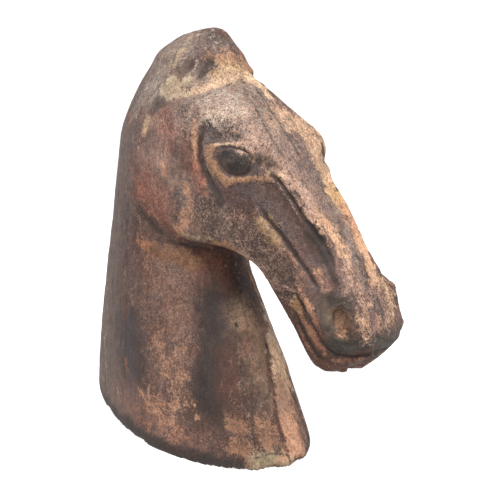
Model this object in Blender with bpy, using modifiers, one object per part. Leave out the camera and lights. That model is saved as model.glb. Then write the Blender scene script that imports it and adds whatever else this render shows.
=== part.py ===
"""A terracotta horse head on its own neck, cut flat below, solid and in one piece.

The frame: origin at the middle of the flat base, +Z up, the horse looks towards +X, and the
plane Y = 0 halves it. The head has its own axes in that plane: "along" runs from the poll
down the face to the lips, and "out" runs square to it, out through the face. "aside" is the
distance from the plane, the same on both sides.
"""

import math

import bmesh
import bpy
import numpy as np
from mathutils import Vector
from mathutils.bvhtree import BVHTree

# Driving dimensions, in metres and degrees
HEIGHT = 0.300
BASE_LENGTH = 0.213
BASE_WIDTH = 0.107
HEAD_LENGTH = 0.210
HEAD_DEPTH = 0.060
FACE_WIDTH = 0.087
HEAD_SLOPE = 57.0
JOWL_RADIUS = 0.049
RIM_HEIGHT = 0.004
RIM_INSET = 0.0016

# How finely the clay is worked, and how many faces the finished solid may keep
GRAIN = HEIGHT / 160.0
FACES_KEPT = 9500
SMOOTHING_ROUNDS = 4

# Colour and finish of the clay
CLAY_COLOUR = (0.235, 0.150, 0.115, 1.0)
CLAY_ROUGHNESS = 0.85

# Neck sections: height as a share of HEIGHT, then back, widest place and front as shares of
# BASE_LENGTH from the origin, then width as a share of BASE_WIDTH
NECK_SECTIONS = (
    (0.000, -0.507, 0.023, 0.496, 1.00),
    (0.133, -0.488, 0.010, 0.420, 0.94),
    (0.267, -0.454, 0.000, 0.336, 0.86),
    (0.400, -0.413, -0.015, 0.248, 0.79),
    (0.500, -0.380, -0.030, 0.201, 0.73),
    (0.667, -0.323, -0.035, 0.220, 0.73),
    (0.788, -0.279, -0.010, 0.245, 0.68),
    (0.839, -0.239, 0.020, 0.262, 0.60),
    (0.888, -0.191, 0.050, 0.280, 0.49),
    (0.927, -0.142, 0.060, 0.253, 0.40),
    (0.957, -0.106, 0.075, 0.222, 0.30),
    (0.978, -0.042, 0.095, 0.195, 0.21),
    (0.993, 0.015, 0.110, 0.166, 0.13),
    (1.000, 0.090, 0.125, 0.145, 0.05),
)
# Paths on the neck and crest are in parts: 1/213 of BASE_LENGTH forward, 1/300 of HEIGHT up
FORWARD_PARTS = 213.0
HEIGHT_PARTS = 300.0
# The poll, where the head's own axes start, in the same parts
POLL = (30, 258)
# Roundness of a section's back and front halves: 2 is an ellipse, less is pointed, more is blunt
BACK_ROUNDNESS = 1.42
FRONT_ROUNDNESS = 2.15

# Lines of the head, in parts of 1/210 of HEAD_LENGTH along, and of the same size of
# HEAD_DEPTH and FACE_WIDTH out and aside
HEAD_PARTS = 210.0
DEPTH_PARTS = 60.0
WIDTH_PARTS = 87.0
FACE_LINE = (
    (-8, 15, 0), (5, 26, 0), (22, 31, 0), (40, 34, 0), (57, 36, 0), (70, 35.5, 0), (85, 33.5, 0),
    (103, 34, 0), (131, 35, 0), (150, 35, 0), (166, 35, 0), (178, 35, 0), (190, 34, 0),
    (198, 32, 0), (203, 28, 0), (206.5, 18, 0), (208.5, 7, 0),
)
RIDGE_LINE = (
    (-8, 10, 8), (8, 25.6, 10), (25, 30.5, 17), (42, 34.5, 25), (57, 38.5, 31.5), (66, 38, 33),
    (75, 33.5, 33), (87, 31.5, 30.5), (103, 33, 27.5), (130, 34.2, 24.5), (151, 33.5, 25.5),
    (165, 34, 27.5), (176, 35, 29), (186, 32.5, 28), (196, 30.5, 26), (203.5, 24, 22),
    (207, 15, 18), (209, 5, 14),
)
PANEL_LINE = (
    (-8, 4, 22), (5, 14, 28), (22, 20, 32), (40, 24, 35.5), (57, 26, 37), (68, 25, 36),
    (82, 21.5, 33.5), (103, 22.5, 30.5), (131, 24, 27), (151, 24, 27.5), (165, 23, 28.5),
    (178, 21, 30), (190, 17.5, 28), (198, 13, 25), (204, 8, 21), (207.5, 3, 15),
)
CHEEKBONE_LINE = (
    (-8, -8, 28), (5, 2, 36), (22, 5, 40), (40, 5, 41.5), (57, 4, 42), (68, 6, 41), (83, 8, 38.5),
    (103, 9, 35), (124, 10, 32), (143, 10, 29.5), (160, 9, 28.5), (178, 7, 28.5), (190, 4.5, 27),
    (198, 2, 23), (203, 0, 18.5), (206.5, -2, 13),
)
CHEEK_LINE = (
    (-8, -22, 31), (5, -15, 39), (22, -14, 42.5), (40, -14, 43.5), (68, -14, 43.5), (83, -10, 41),
    (100, -6, 37), (124, -6, 31), (143, -6, 28.5), (160, -7, 27), (178, -7, 26), (190, -7, 24.5),
    (198, -8, 20.5), (202.5, -9, 16.5), (205, -9, 12),
)
JAW_LINE = (
    (-8, -33, 31), (5, -40, 38), (22, -47, 42), (40, -52, 43), (68, -56, 42), (80, -52, 41),
    (88, -43, 39.5), (96, -33.5, 37), (105, -25, 34), (115, -19, 30.5), (123, -17.5, 28),
    (132, -18, 25.5), (149, -18.5, 23), (165, -18.5, 22), (180, -19.5, 21), (188, -20.5, 19.5),
    (195, -21, 16.5), (200, -19, 13), (202.5, -15, 10),
)
THROAT_LINE = (
    (-8, -35, 0), (5, -44, 0), (22, -51, 0), (40, -56, 0), (68, -60, 0), (80, -55, 0),
    (88, -46, 0), (96, -37, 0), (105, -29, 0), (115, -24, 0), (123, -23, 0), (132, -23, 0),
    (149, -24, 0), (165, -24, 0), (180, -24.5, 0), (189, -25, 0), (196, -24.5, 0),
    (201, -22, 0), (203.5, -17, 0),
)
# The middle of the round cheek plate, in parts along and out
JOWL_MIDDLE = (45.0, -24.5)
HEAD_LINES = (
    FACE_LINE, RIDGE_LINE, PANEL_LINE, CHEEKBONE_LINE, CHEEK_LINE, JAW_LINE, THROAT_LINE,
)
# One head part in metres, the measure of every tool stroke
PART = HEAD_LENGTH / HEAD_PARTS

# Losses along the base's edge: place in parts forward and 1/107 of BASE_WIDTH aside, then
# reach and depth in head parts. First the broad flake in front, then the small ones round it.
WIDTH_OF_BASE_PARTS = 107.0
CHIPS = (
    (95, -29, 12, 4.0), (79, -38, 5, 2.6), (104, -8, 7, 2.2), (-12, -52, 8, 2.0), (-66, -31, 9, 1.8),
    (86, 36, 10, 3.0), (16, 54, 8, 2.2), (-70, 27, 8, 2.0),
)


def smooth_values(knots, values, places):
    """Values of the smooth curve that passes through the knots, at the given places."""
    knots = np.asarray(knots, float)
    values = np.asarray(values, float)
    slopes = np.gradient(values, knots)
    index = np.clip(np.searchsorted(knots, places, side="right") - 1, 0, len(knots) - 2)
    span = knots[index + 1] - knots[index]
    share = (places - knots[index]) / span
    rest = 1.0 - share
    return (
        rest * rest * (1.0 + 2.0 * share) * values[index]
        + share * rest * rest * span * slopes[index]
        + share * share * (1.0 + 2.0 * rest) * values[index + 1]
        - share * share * rest * span * slopes[index + 1]
    )


def rounded(outline):
    """The closed outline with its corners cut away twice over, so that it curves."""
    points = np.array(outline, float)
    for _ in range(2):
        after = np.roll(points, -1, axis=0)
        pairs = np.stack([0.75 * points + 0.25 * after, 0.25 * points + 0.75 * after], axis=1)
        points = pairs.reshape(-1, 2)
    return points


def depth_inside(places, outline):
    """How far each place lies inside a closed outline, negative where it lies outside."""
    least = np.full(len(places), HEIGHT)
    inside = np.zeros(len(places), dtype=bool)
    for start, end in zip(outline, np.roll(outline, -1, axis=0)):
        edge = end - start
        share = np.clip(((places - start) @ edge) / (edge @ edge), 0.0, 1.0)
        gaps = np.linalg.norm(places - start - share[:, None] * edge, axis=1)
        least = np.minimum(least, gaps)
        if edge[1] != 0.0:
            crossing = start[0] + (places[:, 1] - start[1]) * edge[0] / edge[1]
            between = (start[1] > places[:, 1]) != (end[1] > places[:, 1])
            inside ^= between & (places[:, 0] < crossing)
    return np.where(inside, least, -least)


def side_path(*places):
    """A path given in parts forward and up as points (x, z)."""
    return [
        (forward * BASE_LENGTH / FORWARD_PARTS, up * HEIGHT / HEIGHT_PARTS) for forward, up in places
    ]


def head_frame():
    """The poll and the head's along and out directions, as points (x, z) in the mid plane."""
    slope = math.radians(HEAD_SLOPE)
    poll = np.array(side_path(POLL)[0])
    along = np.array((math.cos(slope), -math.sin(slope)))
    out = np.array((math.sin(slope), math.cos(slope)))
    return poll, along, out


def head_point(along_parts, out_parts, aside_parts=0.0):
    """A point of the head in metres, from its place in head parts."""
    poll, along, out = head_frame()
    place = (
        poll
        + along * along_parts * HEAD_LENGTH / HEAD_PARTS
        + out * out_parts * HEAD_DEPTH / DEPTH_PARTS
    )
    return np.array((place[0], aside_parts * FACE_WIDTH / WIDTH_PARTS, place[1]))


def solid_from_rings(name, rings):
    """A closed mesh object through rings of points, all of one count, with a face at each end."""
    mesh = bpy.data.meshes.new(name)
    shape = bmesh.new()
    loops = [[shape.verts.new(point) for point in ring] for ring in rings]
    count = len(loops[0])
    for lower, upper in zip(loops, loops[1:]):
        for i in range(count):
            j = (i + 1) % count
            shape.faces.new((lower[i], lower[j], upper[j], upper[i]))
    shape.faces.new(loops[0])
    shape.faces.new(loops[-1])
    bmesh.ops.recalc_face_normals(shape, faces=shape.faces)
    shape.to_mesh(mesh)
    shape.free()
    return bpy.data.objects.new(name, mesh)


def neck_ring(height, back, widest, front, width, points=64):
    """One level section of the neck: a pointed half at the mane and a blunt half in front."""
    ring = []
    for i in range(points):
        turn = 2.0 * math.pi * i / points
        forward = math.cos(turn)
        sideways = math.sin(turn)
        reach = front - widest if forward > 0.0 else widest - back
        roundness = FRONT_ROUNDNESS if forward > 0.0 else BACK_ROUNDNESS
        x = widest + math.copysign(reach * abs(forward) ** (2.0 / roundness), forward)
        y = math.copysign(width * abs(sideways) ** (2.0 / roundness), sideways)
        ring.append((x, y, height))
    return ring


def make_neck(below):
    """The neck with the mane and the crest, from a little below the base to the top."""
    table = np.array(NECK_SECTIONS)
    shares = 1.0 - (1.0 - np.linspace(0.0, 1.0, 70)) ** 1.3
    columns = [smooth_values(table[:, 0], table[:, column], shares) for column in range(1, 5)]
    scales = (BASE_LENGTH, BASE_LENGTH, BASE_LENGTH, BASE_WIDTH / 2.0)
    sizes = np.stack([column * scale for column, scale in zip(columns, scales)], axis=1)
    rings = [neck_ring(-below, *sizes[0])]
    rings += [neck_ring(share * HEIGHT, *size) for share, size in zip(shares, sizes)]
    return solid_from_rings("neck", rings)


def make_head():
    """The head as a loft down its own axis, through the lines of the head.

    Each line runs to its own end, so the sections lean back towards the chin.
    """
    near_lines = []
    for line in HEAD_LINES:
        table = np.array(line, float)
        along = np.linspace(table[0, 0], table[-1, 0], 74)
        out = smooth_values(table[:, 0], table[:, 1], along)
        aside = smooth_values(table[:, 0], table[:, 2], along)
        near_lines.append(np.stack([along, out, -aside], axis=1))
    far_lines = [line * (1.0, 1.0, -1.0) for line in near_lines[-2:0:-1]]
    lines = near_lines + far_lines
    rings = [[head_point(*line[i]) for line in lines] for i in range(74)]
    return solid_from_rings("head", rings)


def make_jowls():
    """Both round cheek plates as one turned disc, its axis across the head."""
    half = FACE_WIDTH / 2.0
    profile = (
        (0.0, 1.00), (0.40, 0.995), (0.65, 0.97), (0.82, 0.93), (0.93, 0.86), (1.0, 0.72),
    )
    edge = [(radius * JOWL_RADIUS, aside * half) for radius, aside in profile]
    edge += [(radius, -aside) for radius, aside in reversed(edge)]
    mesh = bpy.data.meshes.new("jowls")
    shape = bmesh.new()
    verts = [shape.verts.new((radius, 0.0, aside)) for radius, aside in edge]
    for first, second in zip(verts, verts[1:]):
        shape.edges.new((first, second))
    shape.to_mesh(mesh)
    shape.free()
    jowls = bpy.data.objects.new("jowls", mesh)
    jowls.location = head_point(*JOWL_MIDDLE)
    jowls.rotation_euler = (math.radians(90.0), 0.0, 0.0)
    turn = jowls.modifiers.new("turn", "SCREW")
    turn.axis = "Z"
    turn.steps = 64
    turn.render_steps = 64
    turn.use_merge_vertices = True
    turn.merge_threshold = 0.0001
    return jowls


def evaluated_mesh(obj):
    """The object's mesh with its modifiers and its place worked in."""
    bpy.context.view_layer.update()
    graph = bpy.context.evaluated_depsgraph_get()
    mesh = bpy.data.meshes.new_from_object(obj.evaluated_get(graph))
    mesh.transform(obj.matrix_world)
    return mesh


def joined_clay(pieces, helpers):
    """One even skin of clay over the pieces, as a mesh."""
    for piece in pieces:
        helpers.objects.link(piece)
        piece.hide_render = True
        piece.display_type = "WIRE"
    body = pieces[0]
    for piece in pieces[1:]:
        union = body.modifiers.new("join " + piece.name, "BOOLEAN")
        union.operation = "UNION"
        union.solver = "EXACT"
        union.object = piece
    skin = body.modifiers.new("even skin", "REMESH")
    skin.mode = "VOXEL"
    skin.voxel_size = GRAIN
    soften = body.modifiers.new("soften", "SMOOTH")
    soften.factor = 0.5
    soften.iterations = SMOOTHING_ROUNDS
    return evaluated_mesh(body)


class Carving:
    """Tool strokes on the clay. A stroke follows a path seen from the side, on both sides."""

    def __init__(self, mesh):
        self.mesh = mesh
        self.points = np.zeros((len(mesh.vertices), 3))
        self.read()

    def read(self):
        flat = np.zeros(len(self.mesh.vertices) * 3, dtype=np.float32)
        self.mesh.vertices.foreach_get("co", flat)
        self.points = flat.reshape(-1, 3).astype(float)

    def normals(self):
        flat = np.zeros(len(self.mesh.vertices) * 3, dtype=np.float32)
        self.mesh.vertices.foreach_get("normal", flat)
        return flat.reshape(-1, 3).astype(float)

    def push(self, amount):
        """Moves each point out along its normal by its own amount."""
        self.points = self.points + self.normals() * amount[:, None]
        self.mesh.vertices.foreach_set("co", self.points.astype(np.float32).ravel())
        self.mesh.update()

    def on_skin(self, path):
        """The path laid on the right side of the skin, a point for each part of its length."""
        corners = np.array(path, float)
        steps = np.linalg.norm(np.diff(corners, axis=0), axis=1)
        lengths = np.concatenate([[0.0], np.cumsum(steps)])
        count = max(2, int(lengths[-1] / PART) + 1)
        places = np.linspace(0.0, lengths[-1], count)
        if len(corners) > 2:
            x = smooth_values(lengths, corners[:, 0], places)
            z = smooth_values(lengths, corners[:, 1], places)
        else:
            x = np.interp(places, lengths, corners[:, 0])
            z = np.interp(places, lengths, corners[:, 1])
        tree = BVHTree.FromPolygons(
            [Vector(point) for point in self.points],
            [tuple(polygon.vertices) for polygon in self.mesh.polygons],
        )
        laid = []
        for place in zip(x, z):
            start = Vector((place[0], -BASE_LENGTH, place[1]))
            hit = tree.ray_cast(start, Vector((0.0, 1.0, 0.0)))[0]
            if hit is not None:
                laid.append(hit)
        return np.array(laid)

    def nearest(self, path):
        """Each point's distance to the path, and how far along the path its nearest place is."""
        laid = self.on_skin(path)
        folded = self.points * (1.0, 0.0, 1.0) - np.abs(self.points * (0.0, 1.0, 0.0))
        least = np.full(len(folded), HEIGHT)
        place = np.zeros(len(folded))
        for i, spot in enumerate(laid):
            gaps = np.linalg.norm(folded - spot, axis=1)
            closer = gaps < least
            least[closer] = gaps[closer]
            place[closer] = i / (len(laid) - 1)
        return least, place

    def stroke(self, path, reach, height, fade_in=0.0, fade_out=0.0):
        """A round-bottomed groove, or a ridge where the height is positive, in head parts.

        fade_in and fade_out are the shares of the path over which it rises and dies away.
        """
        gaps, place = self.nearest(path)
        strength = np.ones(len(gaps))
        if fade_in > 0.0:
            strength *= np.clip(place / fade_in, 0.0, 1.0)
        if fade_out > 0.0:
            strength *= np.clip((1.0 - place) / fade_out, 0.0, 1.0)
        share = np.minimum(gaps / (reach * PART), 1.0)
        self.push(height * PART * strength * (1.0 - share**2) ** 2)

    def patch(self, outline, edge, height):
        """Raises or sinks both sides inside a closed outline, fully from edge parts inside it."""
        inset = depth_inside(self.points[:, [0, 2]], rounded(outline))
        share = np.clip(inset / (edge * PART), 0.0, 1.0)
        sideways = np.clip((np.abs(self.normals()[:, 1]) - 0.25) / 0.35, 0.0, 1.0)
        self.push(height * PART * sideways * (1.0 - (1.0 - share) ** 2))


def face_path(*places):
    """A path or outline in head parts as points (x, z)."""
    return [head_point(along, out)[[0, 2]] for along, out in places]


def jowl_path(first, last, radius_parts):
    """Part of a circle about the middle of the cheek plate, angles in degrees from +X upwards."""
    middle = head_point(*JOWL_MIDDLE)
    turns = np.radians(np.linspace(first, last, 9))
    radius = radius_parts * PART
    return [(middle[0] + radius * math.cos(turn), middle[2] + radius * math.sin(turn)) for turn in turns]


def carve_eye(clay):
    """The brow over the eye, the almond eyeball with its lids, and the groove round them."""
    clay.stroke(face_path((42, 8), (49, 18), (58, 25), (67, 28), (76, 31)), 7.0, -1.7, 0.2, 0.0)
    clay.stroke(face_path((67, 28), (75, 32)), 5.0, -1.2)
    eyeball = face_path(
        (43.5, 5), (46.5, 12), (51, 18.5), (57, 23), (63.5, 25), (67.5, 23), (67.5, 16),
        (64.5, 9), (59, 4), (51, 2),
    )
    clay.patch(eyeball, 7.5, 3.0)
    clay.stroke(
        face_path((41.5, 4), (45.5, 14), (50.5, 21), (57, 25.5), (64, 27.5)), 2.8, 1.2, 0.1, 0.1
    )
    clay.stroke(
        face_path((42, 2.5), (51, -0.5), (60, 1.5), (66.5, 7.5), (70, 15.5), (70, 24)),
        3.0,
        1.1,
        0.1,
        0.1,
    )
    clay.stroke(face_path((37, 0), (47, -4), (58, -4.5), (68, -1), (75, 8), (79, 22)), 5.5, 0.9, 0.2, 0.3)
    clay.stroke(
        face_path((29, 12), (30, 3), (36, -3.5), (44, -8), (54, -9.5), (64, -9.5), (72.5, -9), (80, -10)),
        4.0,
        -2.0,
        0.1,
        0.4,
    )


def carve_face(clay):
    """The sunken panel under the nasal ridge, with its sharp upper edge and its lower groove."""
    panel = face_path(
        (78, 25.5), (88, 27.5), (104, 29.5), (130, 31.3), (149, 31), (157, 27.5), (157, 20),
        (142, 15.5), (122, 13.5), (106, 10.5), (94, 10.5), (85, 15), (78, 20.5),
    )
    clay.patch(panel, 4.0, -2.1)
    clay.stroke(face_path((77, 27.5), (104, 29.8), (130, 31.6), (151, 30.5)), 3.0, -0.5, 0.1, 0.2)
    clay.stroke(
        face_path((88, 12), (98, 10), (108, 10.5), (122, 14), (140, 15.5), (154, 18.5)),
        3.4,
        -1.0,
        0.2,
        0.2,
    )


def carve_muzzle(clay):
    """The nostril in its curling rim, and the two lip lines that meet at the corner."""
    clay.stroke(
        face_path(
            (181, 11), (174, 10), (167, 13), (164, 18), (164, 25), (168, 30.5), (175, 32), (182, 30)
        ),
        4.6,
        2.2,
        0.15,
        0.15,
    )
    clay.stroke(face_path((173, 23), (180, 21.5)), 6.2, -3.4)
    clay.stroke(
        face_path(
            (141, -12), (145, -8), (151, -4.5), (159, -3), (168, -2.7), (176, -2.4), (184, -1),
            (191, 2), (198, 5.5), (208, 9),
        ),
        3.0,
        -1.7,
        0.1,
        0.0,
    )
    clay.stroke(
        face_path((146, -15), (154, -11), (162, -9), (170, -9), (179, -10), (190, -10), (205, -9)),
        3.0,
        -1.5,
        0.1,
        0.0,
    )


def carve_jaw(clay):
    """The shadow under the jaw and the soft step behind the cheek plate."""
    clay.stroke(
        face_path((67, -77), (74, -72.5), (83, -62), (92, -48.5), (102, -36), (110, -29)),
        6.5,
        -2.4,
        0.3,
        0.3,
    )
    clay.stroke(jowl_path(150, 232, 50.0), 7.0, -1.1, 0.7, 0.2)


def carve_crest(clay):
    """The crease between crest and brow, the lost ear's socket and the mane's soft step."""
    clay.stroke(
        side_path((6, 254), (21, 254), (39, 259), (50, 264), (60, 267)), 6.0, -1.4, 0.3, 0.0
    )
    clay.stroke(side_path((22, 274), (26, 275)), 6.0, -3.0)
    clay.stroke(side_path((41, 281), (40, 272), (37, 264)), 4.5, -1.2, 0.2, 0.2)
    clay.stroke(
        side_path((-6, 272), (-18, 245), (-27, 217), (-33, 181), (-38, 143), (-41, 103), (-44, 61)),
        14.0,
        -0.7,
        0.2,
        0.5,
    )


def round_rim(clay):
    """Draws the lowest edge inwards, so that the neck ends in a worn, rounded rim."""
    height = clay.points[:, 2]
    drop = np.clip(1.0 - height / RIM_HEIGHT, 0.0, 1.0)
    from_middle = np.maximum(np.linalg.norm(clay.points[:, :2], axis=1), GRAIN)
    clay.points[:, :2] *= (1.0 - RIM_INSET * drop**2 / from_middle)[:, None]
    clay.mesh.vertices.foreach_set("co", clay.points.astype(np.float32).ravel())
    clay.mesh.update()


def chip_rim(clay):
    """Breaks the old losses out of the base's edge."""
    for forward, aside, reach, depth in CHIPS:
        x = forward * BASE_LENGTH / FORWARD_PARTS
        y = aside * BASE_WIDTH / WIDTH_OF_BASE_PARTS
        gaps = np.linalg.norm(clay.points - (x, y, 0.0), axis=1)
        share = np.minimum(gaps / (reach * PART), 1.0)
        clay.push(-depth * PART * (1.0 - share**2) ** 2)


def clay_material():
    """Dark brown fired clay, matt."""
    material = bpy.data.materials.new("terracotta")
    material.use_nodes = True
    shader = material.node_tree.nodes["Principled BSDF"]
    shader.inputs["Base Color"].default_value = CLAY_COLOUR
    shader.inputs["Roughness"].default_value = CLAY_ROUGHNESS
    shader.inputs["Metallic"].default_value = 0.0
    return material


def cut_flat(mesh):
    """Takes everything under the base plane off the mesh and closes it there with one face."""
    shape = bmesh.new()
    shape.from_mesh(mesh)
    bmesh.ops.bisect_plane(
        shape,
        geom=shape.verts[:] + shape.edges[:] + shape.faces[:],
        plane_co=(0.0, 0.0, 0.0),
        plane_no=(0.0, 0.0, -1.0),
        clear_outer=True,
    )
    rim = [edge for edge in shape.edges if edge.is_boundary]
    bmesh.ops.holes_fill(shape, edges=rim)
    bmesh.ops.recalc_face_normals(shape, faces=shape.faces)
    shape.to_mesh(mesh)
    shape.free()


def finish_solid(mesh, parts):
    """The finished head: fewer faces, a flat base, smooth shading and its clay."""
    head = bpy.data.objects.new("horse_head", mesh)
    parts.objects.link(head)
    count = sum(len(polygon.vertices) - 2 for polygon in mesh.polygons)
    fewer = head.modifiers.new("fewer faces", "DECIMATE")
    fewer.ratio = min(1.0, FACES_KEPT / count)
    head.data = evaluated_mesh(head)
    head.modifiers.clear()
    cut_flat(head.data)
    head.data.shade_smooth()
    head.data.materials.clear()
    head.data.materials.append(clay_material())
    return head


def main():
    for obj in list(bpy.data.objects):
        bpy.data.objects.remove(obj, do_unlink=True)
    parts = bpy.data.collections.new("terracotta horse head")
    helpers = bpy.data.collections.new("helpers")
    bpy.context.scene.collection.children.link(parts)
    bpy.context.scene.collection.children.link(helpers)
    below = 4.0 * GRAIN
    clay = Carving(joined_clay([make_neck(below), make_head(), make_jowls()], helpers))
    carve_crest(clay)
    carve_jaw(clay)
    carve_face(clay)
    carve_eye(clay)
    carve_muzzle(clay)
    round_rim(clay)
    chip_rim(clay)
    finish_solid(clay.mesh, parts)


main()
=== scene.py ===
"""A worn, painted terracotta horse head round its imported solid, on a pale studio sweep.

Reaches and heights are in millimetres of the full-size head, which stands 300 tall. The
head's own axes start at the poll: "along" runs down the face, "out" square to it, through
the face. Strokes run through pixels of the 500 x 500 photograph and are laid on the surface
that shows there; the widths of the painted ones are in its pixels too.
"""

import math

import bmesh
import bpy
import numpy as np
from mathutils import Matrix, Vector, noise
from mathutils.bvhtree import BVHTree


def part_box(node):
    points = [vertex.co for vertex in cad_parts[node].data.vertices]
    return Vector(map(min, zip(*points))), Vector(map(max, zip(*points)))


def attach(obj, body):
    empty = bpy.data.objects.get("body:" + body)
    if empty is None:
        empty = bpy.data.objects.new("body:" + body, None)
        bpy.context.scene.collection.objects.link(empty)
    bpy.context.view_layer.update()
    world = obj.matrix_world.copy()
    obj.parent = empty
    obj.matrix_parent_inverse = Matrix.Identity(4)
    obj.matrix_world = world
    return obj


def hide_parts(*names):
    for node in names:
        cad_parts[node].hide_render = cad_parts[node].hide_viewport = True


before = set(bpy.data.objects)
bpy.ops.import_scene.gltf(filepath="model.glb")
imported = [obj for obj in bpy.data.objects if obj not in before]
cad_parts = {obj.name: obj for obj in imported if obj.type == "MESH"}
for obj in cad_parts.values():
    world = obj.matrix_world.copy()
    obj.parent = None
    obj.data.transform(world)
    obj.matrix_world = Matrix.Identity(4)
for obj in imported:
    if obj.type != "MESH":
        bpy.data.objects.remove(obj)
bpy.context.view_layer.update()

# The measure: one millimetre of the full-size head, in metres
FULL_HEIGHT = 300.0
LOW, HIGH = (np.array(corner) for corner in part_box("horse_head"))
MM = float(HIGH[2] - LOW[2]) / FULL_HEIGHT

# The photograph's camera, placed in millimetres, and the pixels between a path's points
PHOTO_SIDE = 500
FOCAL_PIXELS = 620.0
CAMERA_AZIMUTH = 34.5
CAMERA_PITCH = 14.5
CAMERA_PLACE = (296.6, -350.0, 259.29)
SENSOR_WIDTH = 36.0
NEAR_LIMIT = 0.02
FAR_LIMIT = 30.0
MM_IN_PIXEL = 0.78
PATH_STEP = 2.0

# The head's axes in the mid plane, in millimetres and degrees
POLL = (30.0, 258.0)
HEAD_SLOPE = 57.0

# The studio, in metres; each lamp has its place, size and power
FLOOR_RINGS = (0.0, 0.5, 1.2, 2.0)
BEND_RADIUS = 1.0
BEND_STEPS = 12
WALL_HEIGHT = 4.5
STUDIO_SIDES = 64
JOINED = 0.0001
PAPER_SHADE = 0.9
PAPER_ROUGHNESS = 0.9
PAPER_GLOW = 0.55
SKY_STRENGTH = 0.48
WHITE = (1.0, 1.0, 1.0, 1.0)
LAMPS = {"key": ((0.15, -0.9, 1.6), 0.5, 18.0), "front": ((1.5, -0.2, 1.1), 0.7, 14.0)}
LAMP_AIM = (0.02, 0.0, 0.16)

# How finely the surface is worked; the welding distance is in metres
GRAIN = 1.95
WELDED = 0.00001
SOFTENING = 0.5
SOFTENING_ROUNDS = 4
MIDDLE_LEFT_COARSE = 6.0

# The base is flat below the snap, and its rim is evened up to the band's top
BASE_SNAP = 1.3
RIM_BAND = 8.0
RIM_ROUNDS = 6

# Noise: its offset for each seed, its layers' fall and step, and the middle of the shader's
NOISE_OFFSET = (17.3, 5.1, 9.7)
LAYER_FALL = 1.0
LAYER_STEP = 2.0
NOISE_MIDDLE = 0.5

# The skin's unevenness: grain, seed, layers, stretch, height
UNEVENNESS = {
    "hand": (26.0, 1, 3, (1.0, 1.0, 1.0), 0.35),
    "clay": (5.0, 2, 3, (1.0, 1.0, 1.0), 0.14),
    "upright tool marks": (7.0, 3, 2, (1.0, 1.0, 0.12), 0.16),
}

# Scattered pits, with the least and most of their reach and depth
SEED = 11
PITS = 420
PIT_REACH = (1.3, 3.4)
PIT_DEPTH = (0.15, 0.55)

# A stroke's edge, and the noises (grain, seeds, layers) that shake it and that let the paint
# of the unseen side drift, each with how far it goes
STROKE_EDGE = 0.9
UNREST = (7.0, (8, 9, 10), 4)
UNREST_MOST = 5.0
UNREST_SHARE = 0.3
DRIFT = (40.0, (5, 6, 7), 2)
DRIFT_REACH = 7.0
MIRROR = (1.0, -1.0, 1.0)
FIRST_COVER = 0.02

# Where the skin turns into the camera's sight: start and width in facing, rounds of evening
SEEN = (-0.25, 0.4)
SEEN_ROUNDS = 8

# Wear on what stands proud, and painted shade that darkens what lies deep, by relief in millimetres
WEAR_ROUNDS = 10
PROUD_MOST = 0.8
PROUD_COVER = 0.35
DEEP_START = 0.15
DEEP_MOST = 0.7
HOLLOW_SHADE = 0.5

# What the quiet places take from the second coat and from the crazing
QUIET_TOP = 0.4
QUIET_CRAZED = 0.8

# Soot along the rim: its height, cover and edge, and the noise (grain, seed, layers) of its line
RIM_SOOT = 13.0
SOOT_COVER = 0.9
SOOT_EDGE = 1.3
SOOT_NOISE = (16.0, 13, 3)
SOOT_UNREST = 3.0

# Where the streaks turn to follow the face: start and width, along it and out of it
FACE_ALONG = (20.0, 20.0)
FACE_OUT = (-35.0, 15.0)

# The material's noises, the ragged ones on bent coordinates: size, layers, roughness, shift
EVEN_GRAINS = {
    "fine": (2.3, 5.0, 0.72, 57.0),
    "speck": (1.15, 3.0, 0.75, 83.0),
    "crackle": (2.6, 3.0, 0.7, 97.0),
    "fissure": (2.0, 2.0, 0.6, 131.0),
}
RAGGED_GRAINS = {
    "broad": (34.0, 4.0, 0.55, 0.0),
    "middle": (9.0, 6.0, 0.66, 31.0),
    "patch": (7.0, 7.0, 0.72, 71.0),
    "warm": (13.0, 3.0, 0.6, 11.0),
    "cool": (11.0, 3.0, 0.6, 23.0),
    "tinge": (5.0, 5.0, 0.7, 151.0),
}
STREAK_GRAIN = (3.4, 4.0, 0.62, 0.0)
STREAK_SQUEEZE = 0.13
SHIFT_SHARES = (1.0, 0.7, -1.0)
BEND_SCALE = 0.16
BEND_LAYERS = 3.0
BEND_REACH = 5.0

# The material's steps: where each starts and ends, and what it gives before and after
STEPS = {
    "clay": (0.4, 0.6, 0.0, 1.0),
    "clay pale": (0.5, 0.66, 0.0, 0.7),
    "rubbed": (0.34, 0.54, 0.45, 1.0),
    "warm": (0.44, 0.62, 0.0, 0.34),
    "cool": (0.46, 0.62, 0.0, 0.34),
    "stain": (0.53, 0.575, 0.0, 0.6),
    "rub": (0.545, 0.59, 0.0, 0.5),
    "tinge": (0.47, 0.58, 0.0, 0.42),
    "hair": (0.0, 0.7, 0.0, 1.0),
    "hair places": (0.38, 0.56, 0.1, 0.7),
    "fissure": (0.034, 0.006, 0.0, 1.0),
    "dark speck": (0.43, 0.31, 0.0, 0.7),
    "shade": (0.36, 0.64, 0.73, 1.29),
    "broad shade": (0.38, 0.62, 0.86, 1.16),
    "rough": (0.2, 0.8, 0.68, 0.92),
}

# The share that the second grain has in a mix of two
STAIN_STREAKS = 0.55
TOP_SPECKS = 0.52
GROOVE_FINE = 0.6
SHADE_SECOND = 0.45
BUMP_SPECKS = 0.4
BUMP_COAT = 0.22
BUMP_STREAKS = 0.15

# How strong the layers are, and the spread and edge of those that wear to patches
TOP_STRENGTH = 0.92
TOP_WEAR = (4.2, 0.3)
GROOVE_STRENGTH = 0.88
GROOVE_WEAR = (2.2, 0.3)
FISSURE_STRENGTH = 0.7
CRAZED_SPECKS = 0.05

# The crazing's hairs: their width, what full crazing adds and the least
HAIR_WIDTH = 0.009
HAIR_GAIN = 0.024
HAIR_LEAST = 0.002

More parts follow.
